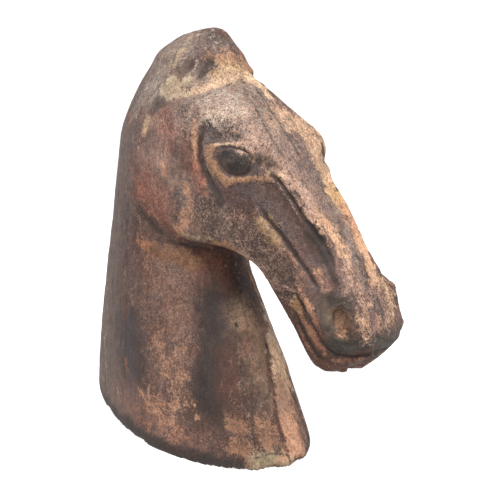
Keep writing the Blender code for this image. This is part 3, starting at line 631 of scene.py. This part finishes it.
# Dark lines over both coats: painted cracks and marks, and painted shade along creases, grooves and
# undercuts; width, strength, path
LINES = {
    "cheekbone crease": (7, 0.42, (203, 128), (200, 140), (199, 150), (201, 160), (204, 170),
        (208, 179)),
    "cheekbone crease low": (10, 0.62, (206, 174), (210, 183), (215, 191), (221, 200)),
    "lid crease": (2.5, 0.7, (205, 143), (214, 142), (224, 143)),
    "under the lid": (1.8, 0.7, (221, 147), (230, 147), (240, 149), (248, 153), (252, 158)),
    # Painted shadow in the undercut below the ridge's edge, in this line and the next
    "ridge undercut": (4, 0.9, (272, 175), (278, 180), (286, 190), (293, 200), (299, 210), (305, 220),
        (312, 230)),
    "ridge undercut low": (7, 0.72, (312, 230), (317, 240), (321, 249), (326, 259), (332, 269),
        (337, 284)),
    "panel groove": (5, 0.46, (261, 210), (268, 220), (277, 230), (285, 240), (292, 250), (299, 260),
        (306, 270), (313, 281), (319, 291)),
    # Painted shadow under the jowl's and the jaw's overhanging edges, in this line and the next
    "jaw behind": (10, 0.42, (140, 215), (152, 229), (168, 239)),
    "jaw crease": (3, 0.6, (158, 240), (172, 243), (190, 246), (208, 250)),
    "upper lip line": (2.8, 0.7, (297, 296), (300, 303), (305, 313), (313, 327), (321, 340), (329, 349),
        (337, 354), (352, 357), (366, 355), (376, 352)),
    "lower lip line": (2.6, 0.85, (299, 322), (304, 333), (312, 346), (320, 356), (329, 361)),
    "neck crack one": (3, 0.6, (268, 345), (272, 378), (276, 410), (281, 432), (288, 452)),
    "neck crack two": (2.6, 0.55, (251, 377), (253, 419), (255, 450)),
    "band dot": (3, 0.9, (270, 116), (271, 119)),
    "flake edge": (2.6, 0.75, (254, 459), (266, 455), (278, 453), (288, 456), (291, 462)),
    "base notch": (4, 0.9, (238, 471), (252, 472)),
    # Painted shadow inside the nostril's hollow, on its wall and under its rim, in this line and the
    # next
    "nostril cut": (3, 0.5, (332, 309), (334, 320), (339, 332)),
    "nostril roof": (3, 0.55, (336, 311), (344, 308), (352, 312), (355, 322)),
    "muzzle crack": (2.5, 0.85, (378, 337), (385, 340), (393, 341)),
    "muzzle groove": (4, 0.7, (378, 298), (382, 312), (384, 324)),
    "round mark": (6, 0.6, (356, 255), (359, 260)),
    "pits": (3.5, 0.95, (241, 290), (241, 291)),
    "pit two": (3.5, 0.95, (237, 324), (237, 325)),
    "pit three": (3, 0.9, (267, 345), (267, 346)),
    "front line one": (3, 0.6, (243, 88), (255, 106), (264, 124), (274, 142), (284, 158)),
    "front line two": (3, 0.62, (252, 84), (266, 102), (280, 124), (292, 144), (304, 164), (314, 184)),
    "front line three": (3, 0.55, (262, 100), (274, 116), (288, 136), (302, 160), (314, 184),
        (322, 200)),
    # Painted shade on the far edge of the brow's bump
    "far brow edge": (4, 0.8, (322, 144), (324, 156)),
    "front line four": (2.6, 0.5, (240, 78), (250, 92), (262, 108)),
    "front line five": (2.4, 0.5, (276, 132), (288, 150), (300, 168)),
    "crease under": (2.4, 0.6, (178, 101), (190, 100), (204, 96), (218, 90), (232, 84)),
    "neck shade": (9, 0.34, (230, 332), (239, 358), (248, 384), (254, 412)),
    "neck column": (26, 0.5, (213, 296), (213, 330), (209, 364), (203, 392)),
    # Partly dark paint, partly painted shade of the neck's left side
    "neck dark left": (30, 0.26, (128, 326), (132, 354), (128, 382)),
    "crest black": (7, 0.68, (200, 78), (205, 69), (211, 59)),
    "jowl top": (15, 0.42, (157, 102), (169, 104), (184, 108)),
    "brow front": (9, 0.42, (255, 155), (265, 163), (274, 169)),
    "muzzle slate": (8, 0.34, (377, 302), (382, 312)),
    "muzzle patch": (6, 0.34, (357, 266), (361, 279)),
}

# Where the base's rim is chipped clean: width, strength, path
RIM_CHIP = {
    "chip": (22, 1.2, (258, 466), (272, 464), (284, 460)),
    "front corner": (18, 0.7, (292, 458), (299, 452)),
}


def camera_axes():
    """The camera's right, forward and up directions."""
    turn = math.radians(CAMERA_AZIMUTH)
    pitch = math.radians(CAMERA_PITCH)
    right = Vector((math.cos(turn), math.sin(turn), 0.0))
    forward = Vector(
        (-math.sin(turn) * math.cos(pitch), math.cos(turn) * math.cos(pitch), -math.sin(pitch))
    )
    return right, forward, right.cross(forward)


def add_camera():
    """The photograph's camera."""
    right, forward, up = camera_axes()
    data = bpy.data.cameras.new("photo_camera")
    data.sensor_width = SENSOR_WIDTH
    data.lens = FOCAL_PIXELS * SENSOR_WIDTH / PHOTO_SIDE
    data.clip_start = NEAR_LIMIT
    data.clip_end = FAR_LIMIT
    camera = bpy.data.objects.new("photo_camera", data)
    placing = Matrix((right, up, -forward)).transposed().to_4x4()
    placing.translation = Vector(CAMERA_PLACE) * MM
    camera.matrix_world = placing
    bpy.context.scene.collection.objects.link(camera)
    bpy.context.scene.camera = camera


def add_lamp(name, place, size, power):
    """A soft square light that looks at the head."""
    data = bpy.data.lights.new(name, "AREA")
    data.size = size
    data.energy = power
    lamp = bpy.data.objects.new(name, data)
    lamp.location = place
    aim = Vector(LAMP_AIM) - Vector(place)
    lamp.rotation_euler = aim.to_track_quat("-Z", "Y").to_euler()
    bpy.context.scene.collection.objects.link(lamp)


def sweep_profile():
    """The sweep's half section from the middle of its floor outwards, as radius and height."""
    floor = FLOOR_RINGS[-1]
    profile = [(radius, 0.0) for radius in FLOOR_RINGS]
    for i in range(1, BEND_STEPS + 1):
        angle = math.radians(90.0 * i / BEND_STEPS)
        rise = BEND_RADIUS * (1.0 - math.cos(angle))
        profile.append((floor + BEND_RADIUS * math.sin(angle), rise))
    profile.append((floor + BEND_RADIUS, WALL_HEIGHT))
    return profile


def add_sweep():
    """A pale paper floor that curves up into a wall all round."""
    mesh = bpy.data.meshes.new("sweep")
    shape = bmesh.new()
    rows = []
    for radius, height in sweep_profile():
        row = []
        for i in range(STUDIO_SIDES):
            angle = math.radians(360.0 * i / STUDIO_SIDES)
            row.append(shape.verts.new((radius * math.cos(angle), radius * math.sin(angle), height)))
        rows.append(row)
    for lower, upper in zip(rows, rows[1:]):
        for i in range(STUDIO_SIDES):
            j = (i + 1) % STUDIO_SIDES
            shape.faces.new((lower[i], lower[j], upper[j], upper[i]))
    bmesh.ops.remove_doubles(shape, verts=shape.verts, dist=JOINED)
    shape.to_mesh(mesh)
    shape.free()
    mesh.shade_smooth()
    sweep = bpy.data.objects.new("sweep", mesh)
    bpy.context.scene.collection.objects.link(sweep)
    paper = bpy.data.materials.new("paper")
    paper.use_nodes = True
    shader = paper.node_tree.nodes["Principled BSDF"]
    shader.inputs["Base Color"].default_value = (PAPER_SHADE, PAPER_SHADE, PAPER_SHADE, 1.0)
    shader.inputs["Roughness"].default_value = PAPER_ROUGHNESS
    shader.inputs["Emission Color"].default_value = WHITE
    shader.inputs["Emission Strength"].default_value = PAPER_GLOW
    mesh.materials.append(paper)
    sweep.visible_diffuse = False


def add_studio():
    """The sweep, a light sky and soft lamps."""
    add_sweep()
    world = bpy.data.worlds.new("sky")
    world.use_nodes = True
    sky = world.node_tree.nodes["Background"]
    sky.inputs["Color"].default_value = WHITE
    sky.inputs["Strength"].default_value = SKY_STRENGTH
    bpy.context.scene.world = world
    for name, (place, size, power) in LAMPS.items():
        add_lamp(name, place, size, power)
    bpy.context.scene.view_settings.view_transform = "Standard"


def read_points(mesh, what="co"):
    """The mesh's points, or their normals, as an array."""
    flat = np.zeros(len(mesh.vertices) * 3, dtype=np.float32)
    mesh.vertices.foreach_get(what, flat)
    return flat.reshape(-1, 3).astype(float)


def write_points(mesh, points):
    mesh.vertices.foreach_set("co", points.astype(np.float32).ravel())
    mesh.update()


def fine_skin(node):
    """The CAD node's shape as an even, fine mesh with its facets smoothed away."""
    skin = bpy.data.objects.new("terracotta_head", node.data.copy())
    bpy.context.scene.collection.objects.link(skin)
    weld = skin.modifiers.new("weld", "WELD")
    weld.merge_threshold = WELDED
    round_off = skin.modifiers.new("round off", "SUBSURF")
    round_off.levels = 1
    round_off.render_levels = 1
    even = skin.modifiers.new("even", "REMESH")
    even.mode = "VOXEL"
    even.voxel_size = GRAIN * MM
    soften = skin.modifiers.new("soften", "SMOOTH")
    soften.factor = SOFTENING
    soften.iterations = SOFTENING_ROUNDS
    graph = bpy.context.evaluated_depsgraph_get()
    mesh = bpy.data.meshes.new_from_object(skin.evaluated_get(graph))
    skin.modifiers.clear()
    skin.data = mesh
    mesh.name = "terracotta_head"
    refine_face(mesh)
    return skin


def face_measures(points):
    """How far each point lies along the face and out of it, in millimetres."""
    slope = math.radians(HEAD_SLOPE)
    x = points[:, 0] / MM - POLL[0]
    z = points[:, 2] / MM - POLL[1]
    along = x * math.cos(slope) - z * math.sin(slope)
    out = x * math.sin(slope) + z * math.cos(slope)
    return along, out


def refine_face(mesh):
    """Halves the mesh's grain where the eyes, the ridges, the nostrils and the mouth are."""
    shape = bmesh.new()
    shape.from_mesh(mesh)
    places = np.array([edge.verts[0].co + edge.verts[1].co for edge in shape.edges]) / 2.0
    along, out = face_measures(places)
    chosen = np.zeros(len(along), bool)
    for least_along, most_along, least_out, most_out in FINE_FIELDS.values():
        inside = (along > least_along) & (along < most_along)
        inside &= (out > least_out) & (out < most_out)
        chosen |= inside & (np.abs(places[:, 1]) > MIDDLE_LEFT_COARSE * MM)
    edges = [edge for edge, wanted in zip(shape.edges, chosen) if wanted]
    bmesh.ops.subdivide_edges(shape, edges=edges, cuts=1, use_grid_fill=True, smooth=0.0)
    shape.to_mesh(mesh)
    shape.free()


def tree_of(mesh):
    points = [vertex.co.copy() for vertex in mesh.vertices]
    return BVHTree.FromPolygons(points, [tuple(polygon.vertices) for polygon in mesh.polygons])


def even_path(corners, step):
    """The path through the corners as points about a step apart."""
    corners = np.array(corners, float)
    lengths = np.concatenate([[0.0], np.cumsum(np.linalg.norm(np.diff(corners, axis=0), axis=1))])
    count = max(2, int(lengths[-1] / step) + 1)
    places = np.linspace(0.0, lengths[-1], count)
    return np.stack([np.interp(places, lengths, column) for column in corners.T], axis=1)


def from_the_camera(tree, points, pixels):
    """A path in pixels laid on the skin that the camera sees; beside it, on the nearest point."""
    right, forward, up = camera_axes()
    start = Vector(CAMERA_PLACE) * MM
    middle = PHOTO_SIDE / 2
    laid = []
    for u, v in even_path(pixels, PATH_STEP):
        ray = forward + right * ((u - middle) / FOCAL_PIXELS) + up * ((middle - v) / FOCAL_PIXELS)
        ray.normalize()
        hit = tree.ray_cast(start, ray)[0]
        if hit is None:
            away = points - np.array(start)
            along = away @ np.array(ray)
            gaps = np.linalg.norm(away - along[:, None] * np.array(ray), axis=1)
            hit = points[np.argmin(gaps)]
        laid.append(np.array(hit))
    return np.array(laid)


def nearest(points, laid, reach):
    """Each point's distance to the laid path, at most the reach, and its share of the way."""
    least = np.full(len(points), reach)
    share = np.zeros(len(points))
    low = laid.min(axis=0) - reach
    high = laid.max(axis=0) + reach
    close = np.nonzero(((points > low) & (points < high)).all(axis=1))[0]
    if len(close) == 0:
        return least, share
    part = points[close]
    best = np.full(len(part), reach)
    place = np.zeros(len(part))
    for i, spot in enumerate(laid):
        gaps = np.linalg.norm(part - spot, axis=1)
        closer = gaps < best
        best[closer] = gaps[closer]
        place[closer] = i / max(1, len(laid) - 1)
    least[close] = best
    share[close] = place
    return least, share


def bell(gaps, reach):
    """1 on a path and 0 from the reach on, with a soft fall between."""
    return (1.0 - (gaps / reach) ** 2) ** 2


def push(mesh, amount):
    """Moves each point out along its normal by its own amount."""
    write_points(mesh, read_points(mesh) + read_points(mesh, "normal") * amount[:, None])


def sharpen_carving(mesh):
    """Cuts the head's lines again with finer tools, on both sides."""
    tree = tree_of(mesh)
    start_points = read_points(mesh)
    for reach, height, fade_in, fade_out, *pixels in FACE_CUTS.values():
        laid = from_the_camera(tree, start_points, pixels)
        laid[:, 1] = -np.abs(laid[:, 1])
        points = read_points(mesh)
        folded = np.stack([points[:, 0], -np.abs(points[:, 1]), points[:, 2]], axis=1)
        gaps, share = nearest(folded, laid, reach * MM)
        strength = np.ones(len(gaps))
        if fade_in > 0.0:
            strength *= np.clip(share / fade_in, 0.0, 1.0)
        if fade_out > 0.0:
            strength *= np.clip((1.0 - share) / fade_out, 0.0, 1.0)
        push(mesh, height * MM * strength * bell(gaps, reach * MM))


def scratch(mesh):
    """Cracks, lines and flakes where the photograph shows them."""
    tree = tree_of(mesh)
    for reach, height, *pixels in PIXEL_STROKES.values():
        points = read_points(mesh)
        laid = from_the_camera(tree, points, pixels)
        gaps = nearest(points, laid, reach * MM)[0]
        push(mesh, height * MM * bell(gaps, reach * MM))


def noise_at(points, size, seed, layers, stretch=(1.0, 1.0, 1.0)):
    """Layered noise from about -1 to 1 at each point; size is its coarsest grain."""
    offset = np.array(NOISE_OFFSET) * seed
    places = points / (MM * size) * np.array(stretch) + offset
    return np.array([noise.fractal(Vector(place), LAYER_FALL, LAYER_STEP, layers) for place in places])


def wander(points, size, seeds, layers):
    """A noise for each direction at each point."""
    return np.stack([noise_at(points, size, seed, layers) for seed in seeds], axis=1)


def weather(mesh):
    """Hand-modelled unevenness, upright tool marks and scattered pits."""
    points = read_points(mesh)
    heights = np.zeros(len(points))
    for size, seed, layers, stretch, height in UNEVENNESS.values():
        heights += noise_at(points, size, seed, layers, stretch) * height
    chooser = np.random.default_rng(SEED)
    pits = np.zeros(len(points))
    for index in chooser.choice(len(points), PITS, replace=False):
        reach = chooser.uniform(*PIT_REACH) * MM
        depth = chooser.uniform(*PIT_DEPTH)
        gaps = nearest(points, points[index][None, :], reach)[0]
        pits = np.maximum(pits, depth * bell(gaps, reach))
    push(mesh, (heights - pits) * MM)


def neighbour_mean(mesh, values, rounds):
    """The values averaged over neighbours along the mesh's edges, so many times."""
    edges = np.zeros(len(mesh.edges) * 2, dtype=np.int32)
    mesh.edges.foreach_get("vertices", edges)
    first, second = edges.reshape(-1, 2).T
    count = np.bincount(first, minlength=len(values)) + np.bincount(second, minlength=len(values))
    columns = values.astype(float).reshape(len(values), -1)
    for _ in range(rounds):
        total = columns.copy()
        for i, column in enumerate(columns.T):
            total[:, i] += np.bincount(first, column[second], len(values))
            total[:, i] += np.bincount(second, column[first], len(values))
        columns = total / (count + 1)[:, None]
    return columns.reshape(values.shape)


def settle(mesh, start_height):
    """Keeps the skin in the solid's box, with its underside flat and its rim even."""
    points = np.clip(read_points(mesh), LOW, HIGH)
    points[start_height < BASE_SNAP * MM, 2] = LOW[2]
    even = neighbour_mean(mesh, points, RIM_ROUNDS)
    near_rim = np.clip(1.0 - start_height / (RIM_BAND * MM), 0.0, 1.0)[:, None]
    points[:, :2] += (even[:, :2] - points[:, :2]) * near_rim
    write_points(mesh, points)


def relief(mesh, rounds):
    """How far each point stands above its surroundings, in millimetres; hollows are negative."""
    points = read_points(mesh)
    smooth = neighbour_mean(mesh, points, rounds)
    return ((points - smooth) * read_points(mesh, "normal")).sum(axis=1) / MM


def smooth_step(values, start=0.0, width=1.0):
    """0 up to the start, 1 from a width further on, and a soft rise between."""
    clipped = np.clip((values - start) / width, 0.0, 1.0)
    return clipped * clipped * (3.0 - 2.0 * clipped)


def seen_share(mesh):
    """1 where the camera sees the skin, falling to 0 where it faces away."""
    away = np.array(CAMERA_PLACE) * MM - read_points(mesh)
    away /= np.linalg.norm(away, axis=1)[:, None]
    facing = (away * read_points(mesh, "normal")).sum(axis=1)
    return smooth_step(neighbour_mean(mesh, facing, SEEN_ROUNDS), *SEEN)


def linear(name):
    """A named colour as the shader takes it: the sRGB curve undone."""
    shares = np.array(COLOURS[name]) / 255.0
    curved = ((shares + CURVE_LIFT) / (1.0 + CURVE_LIFT)) ** CURVE_POWER
    values = np.where(shares <= CURVE_KNEE, shares / CURVE_SLOPE, curved)
    return (*values.tolist(), 1.0)


class Brush:
    """Lays strokes on the skin the camera sees, and their like on the side it doesn't."""

    def __init__(self, mesh):
        self.tree = tree_of(mesh)
        self.points = read_points(mesh)
        self.seen = seen_share(mesh)
        self.mirrored = self.points * MIRROR + wander(self.points, *DRIFT) * DRIFT_REACH * MM
        self.shake = wander(self.points, *UNREST)

    def stroke(self, width, pixels):
        """Each point's share of the stroke, 1 in its middle and 0 outside it."""
        laid = from_the_camera(self.tree, self.points, pixels)
        reach = width * MM_IN_PIXEL * MM
        unrest = self.shake * min(UNREST_MOST, width * UNREST_SHARE) * MM
        shares = []
        for places in (self.points, self.mirrored):
            gaps = nearest(places + unrest, laid, reach)[0]
            shares.append(smooth_step(1.0 - gaps / reach, 0.0, STROKE_EDGE))
        return shares[0] * self.seen + shares[1] * (1.0 - self.seen)

    def field(self, strokes):
        """The strongest of the strokes at each point."""
        values = np.zeros(len(self.points))
        for width, strength, *pixels in strokes.values():
            np.maximum(values, strength * self.stroke(width, pixels), out=values)
        return values

    def coat(self, strokes, start):
        """The strokes' colours painted over each other, their joint cover and the strongest."""
        colours = np.tile(np.array(linear(start)[:3]) * FIRST_COVER, (len(self.points), 1))
        joint = np.full(len(self.points), FIRST_COVER)
        strongest = np.zeros(len(self.points))
        for name, width, strength, *pixels in strokes.values():
            laid = strength * self.stroke(width, pixels)
            share = laid[:, None]
            colours = colours * (1.0 - share) + np.array(linear(name)[:3]) * share
            joint = joint * (1.0 - laid) + laid
            strongest = np.maximum(strongest, laid)
        return colours / joint[:, None], joint, strongest


def keep_value(mesh, name, values):
    """Keeps a value for each point with the mesh, for the material."""
    layer = mesh.attributes.new(name, "FLOAT", "POINT")
    layer.data.foreach_set("value", values.astype(np.float32))


def keep_colour(mesh, name, colours):
    layer = mesh.color_attributes.new(name, "FLOAT_COLOR", "POINT")
    flat = np.concatenate([colours, np.ones((len(colours), 1))], axis=1)
    layer.data.foreach_set("color", flat.astype(np.float32).ravel())


def paint(mesh):
    """Keeps both coats, the crazing, the dark lines and painted shade, and the face's lie with the mesh.
    """
    brush = Brush(mesh)
    points = brush.points
    wear = relief(mesh, WEAR_ROUNDS)
    proud = np.clip(wear, 0.0, PROUD_MOST) * PROUD_COVER
    # Hollows get darker by their depth: painted shade
    deep = np.clip(-wear - DEEP_START, 0.0, DEEP_MOST) * HOLLOW_SHADE
    colours, joint, _ = brush.coat(GROUND, "mauve brown")
    keep_colour(mesh, "ground", colours)
    keep_value(mesh, "ground_cover", joint)
    colours, _, strongest = brush.coat(TOP, "pink cream")
    keep_colour(mesh, "top", colours)
    quiet = brush.field(QUIET)
    keep_value(mesh, "top_cover", strongest + proud - QUIET_TOP * quiet)
    keep_value(mesh, "crazed", brush.field(CRAZED) - QUIET_CRAZED * quiet)
    keep_value(mesh, "quiet", quiet)
    soot_line = points[:, 2] / MM + noise_at(points, *SOOT_NOISE) * SOOT_UNREST
    rim = SOOT_COVER * smooth_step(SOOT_EDGE - soot_line / RIM_SOOT) - brush.field(RIM_CHIP)
    # The dark lines, the rim's soot and the hollows' painted shade, kept as one value
    keep_value(mesh, "line", np.maximum(brush.field(LINES), rim) + deep)
    along, out = face_measures(points)
    keep_value(mesh, "face", smooth_step(along, *FACE_ALONG) * smooth_step(out, *FACE_OUT))


class ClayNodes:
    """Small helpers that build the clay's material."""

    def __init__(self, material):
        material.use_nodes = True
        self.tree = material.node_tree
        self.shader = self.tree.nodes["Principled BSDF"]

    def add(self, kind, **settings):
        node = self.tree.nodes.new(kind)
        for name, value in settings.items():
            setattr(node, name, value)
        return node

    def put(self, node, values):
        """Links each of the named sockets, or sets its plain value."""
        for socket, value in values.items():
            if isinstance(value, bpy.types.NodeSocket):
                self.tree.links.new(value, node.inputs[socket])
            else:
                node.inputs[socket].default_value = value

    def maths(self, operation, first, second=0.0):
        """A sum on one or two numbers."""
        node = self.add("ShaderNodeMath", operation=operation)
        self.put(node, {0: first, 1: second})
        return node.outputs[0]

    def vector(self, operation, first, second):
        """A sum on two vectors, or on a vector and the number that scales it."""
        node = self.add("ShaderNodeVectorMath", operation=operation)
        socket = "Scale" if operation == "SCALE" else 1
        self.put(node, {0: first, socket: second})
        return node.outputs[0]

    def grain(self, coords, size, detail, roughness, shift):
        """Noise whose coarsest grain is about the size, in millimetres."""
        node = self.add("ShaderNodeTexNoise")
        moved = self.vector("ADD", coords, [shift * share for share in SHIFT_SHARES])
        self.put(node, {"Vector": moved, "Scale": 1.0 / size, "Detail": detail, "Roughness": roughness})
        return node.outputs["Fac"]

    def stored(self, name, socket="Fac"):
        """A value or colour that is kept with the mesh."""
        return self.add("ShaderNodeAttribute", attribute_name=name).outputs[socket]

    def step(self, value, low, high, least=0.0, most=1.0):
        """A soft step from the least to the most, between low and high."""
        node = self.add("ShaderNodeMapRange", interpolation_type="SMOOTHSTEP")
        limits = {"From Min": low, "From Max": high, "To Min": least, "To Max": most}
        self.put(node, {"Value": value, **limits})
        return node.outputs["Result"]

    def blend(self, factor, first, second, kind="RGBA"):
        """The first, going over to the second as the factor rises."""
        first_socket, second_socket, result = MIX_SOCKETS[kind]
        node = self.add("ShaderNodeMix", data_type=kind)
        self.put(node, {0: factor, first_socket: first, second_socket: second})
        return node.outputs[result]

    def mixed(self, first, second, share=0.5):
        """Two grains in one, with this share of the second."""
        left = self.maths("MULTIPLY", first, 1.0 - share)
        return self.maths("ADD", left, self.maths("MULTIPLY", second, share))

    def from_middle(self, grain):
        """How far a noise lies above its middle."""
        return self.maths("SUBTRACT", grain, NOISE_MIDDLE)

    def mask(self, amount, grain, spread, edge):
        """Where a worn layer is left: more of the grain's peaks as the amount rises."""
        uneven = self.maths("MULTIPLY", self.from_middle(grain), spread)
        return self.step(self.maths("ADD", amount, uneven), NOISE_MIDDLE - edge, NOISE_MIDDLE + edge)

    def over(self, colour, name, cover, strength=None):
        """A named colour laid over the rest."""
        if strength is not None:
            cover = self.maths("MULTIPLY", cover, strength)
        return self.blend(cover, colour, linear(name))


def clay_grains(nodes):
    """The noises by name: the even ones, the ragged ones, and the streaks down neck and face."""
    place = nodes.add("ShaderNodeTexCoord").outputs["Object"]
    coords = nodes.vector("SCALE", place, 1.0 / MM)
    bend = nodes.add("ShaderNodeTexNoise")
    nodes.put(bend, {"Vector": coords, "Scale": BEND_SCALE, "Detail": BEND_LAYERS})
    shake = nodes.vector("SUBTRACT", bend.outputs["Color"], [NOISE_MIDDLE] * 3)
    ragged = nodes.vector("ADD", coords, nodes.vector("SCALE", shake, BEND_REACH))
    grains = {name: nodes.grain(coords, *grain) for name, grain in EVEN_GRAINS.items()}
    for name, grain in RAGGED_GRAINS.items():
        grains[name] = nodes.grain(ragged, *grain)
    turned = nodes.add("ShaderNodeVectorRotate", rotation_type="Y_AXIS")
    nodes.put(turned, {"Vector": coords, "Angle": math.radians(HEAD_SLOPE)})
    upright = nodes.vector("MULTIPLY", coords, (1.0, 1.0, STREAK_SQUEEZE))
    along_face = nodes.vector("MULTIPLY", turned.outputs[0], (STREAK_SQUEEZE, 1.0, 1.0))
    ways = [nodes.grain(way, *STREAK_GRAIN) for way in (upright, along_face)]
    grains["streak"] = nodes.blend(nodes.stored("face"), *ways, "FLOAT")
    return grains


def clay_material():
    """Fired clay under worn slip, soot and rubbed cream, with painted shade and highlights, by noise and
    what paint() kept.
    """
    material = bpy.data.materials.new("worn_terracotta")
    nodes = ClayNodes(material)
    grains = clay_grains(nodes)
    middle = grains["middle"]
    fine = grains["fine"]
    speck = grains["speck"]
    streak = grains["streak"]
    quiet = nodes.stored("quiet")
    crazed = nodes.stored("crazed")

    clay = nodes.step(nodes.mixed(grains["broad"], middle), *STEPS["clay"])
    colour = nodes.blend(clay, linear("clay deep"), linear("clay"))
    pale = nodes.step(nodes.mixed(middle, streak), *STEPS["clay pale"])
    colour = nodes.over(colour, "clay pale", pale)
    rubbed = nodes.step(nodes.mixed(middle, nodes.mixed(fine, streak)), *STEPS["rubbed"])
    rubbed = nodes.maths("MAXIMUM", rubbed, quiet)
    ground_cover = nodes.maths("MULTIPLY", nodes.stored("ground_cover"), rubbed)
    colour = nodes.blend(ground_cover, colour, nodes.stored("ground", "Color"))

    unrest = nodes.maths("SUBTRACT", 1.0, quiet)
    stains = {
        "warm": (grains["warm"], "red brown"),
        "cool": (grains["cool"], "slate"),
        "stain": (nodes.mixed(middle, streak, STAIN_STREAKS), "soot"),
        "rub": (nodes.mixed(grains["patch"], streak), "clay pale"),
    }
    for name, (grain, tint) in stains.items():
        colour = nodes.over(colour, tint, nodes.step(grain, *STEPS[name]), unrest)

    uneven = nodes.mixed(grains["patch"], nodes.mixed(fine, speck), TOP_SPECKS)
    worn = nodes.mask(nodes.stored("top_cover"), uneven, *TOP_WEAR)
    tinge = nodes.step(grains["tinge"], *STEPS["tinge"])
    top = nodes.over(nodes.stored("top", "Color"), "tan", tinge)
    colour = nodes.blend(nodes.maths("MULTIPLY", worn, TOP_STRENGTH), colour, top)

    hairs = nodes.maths("ABSOLUTE", nodes.from_middle(grains["crackle"]))
    width = nodes.maths("ADD", nodes.maths("MULTIPLY", crazed, HAIR_GAIN), HAIR_WIDTH)
    width = nodes.maths("MAXIMUM", width, HAIR_LEAST)
    light = nodes.maths("SUBTRACT", 1.0, nodes.maths("DIVIDE", hairs, width))
    hair_places = nodes.step(middle, *STEPS["hair places"])
    colour = nodes.over(colour, "light speck", nodes.step(light, *STEPS["hair"]), hair_places)
    fissure = nodes.maths("ABSOLUTE", nodes.from_middle(grains["fissure"]))
    fissure = nodes.step(fissure, *STEPS["fissure"])
    fissure = nodes.maths("MULTIPLY", fissure, nodes.maths("MULTIPLY", worn, crazed))
    colour = nodes.over(colour, "crack brown", fissure, FISSURE_STRENGTH)
    dark = nodes.maths("SUBTRACT", speck, nodes.maths("MULTIPLY", crazed, CRAZED_SPECKS))
    colour = nodes.over(colour, "dark speck", nodes.step(dark, *STEPS["dark speck"]))
    # The dark lines, with the painted shade of creases, undercuts and hollows, worn to patches
    groove = nodes.mask(nodes.stored("line"), nodes.mixed(middle, fine, GROOVE_FINE), *GROOVE_WEAR)
    colour = nodes.over(colour, "groove", groove, GROOVE_STRENGTH)

    shade = nodes.step(nodes.mixed(speck, fine, SHADE_SECOND), *STEPS["shade"])
    broad_shade = nodes.step(nodes.mixed(streak, middle, SHADE_SECOND), *STEPS["broad shade"])
    shaded = nodes.vector("SCALE", colour, nodes.maths("MULTIPLY", shade, broad_shade))
    rough = nodes.step(nodes.mixed(fine, worn), *STEPS["rough"])
    height = nodes.mixed(nodes.mixed(fine, speck, BUMP_SPECKS), worn, BUMP_COAT)
    height = nodes.mixed(height, streak, BUMP_STREAKS)
    bump = nodes.add("ShaderNodeBump")
    nodes.put(bump, {"Height": height, "Distance": BUMP_REACH * MM, "Strength": BUMP_STRENGTH})
    surface = {"Base Color": shaded, "Roughness": rough, "Normal": bump.outputs["Normal"]}
    nodes.put(nodes.shader, surface)
    nodes.shader.inputs["Specular IOR Level"].default_value = GLOSS
    return material


def main():
    """The studio, then the head with its carving, its wear and its paint."""
    add_camera()
    add_studio()
    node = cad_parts["horse_head"]
    head = fine_skin(node)
    mesh = head.data
    start_height = read_points(mesh)[:, 2]
    sharpen_carving(mesh)
    scratch(mesh)
    weather(mesh)
    settle(mesh, start_height)
    paint(mesh)
    mesh.materials.clear()
    mesh.materials.append(clay_material())
    mesh.shade_smooth()
    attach(head, "root")
    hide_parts("horse_head")


main()
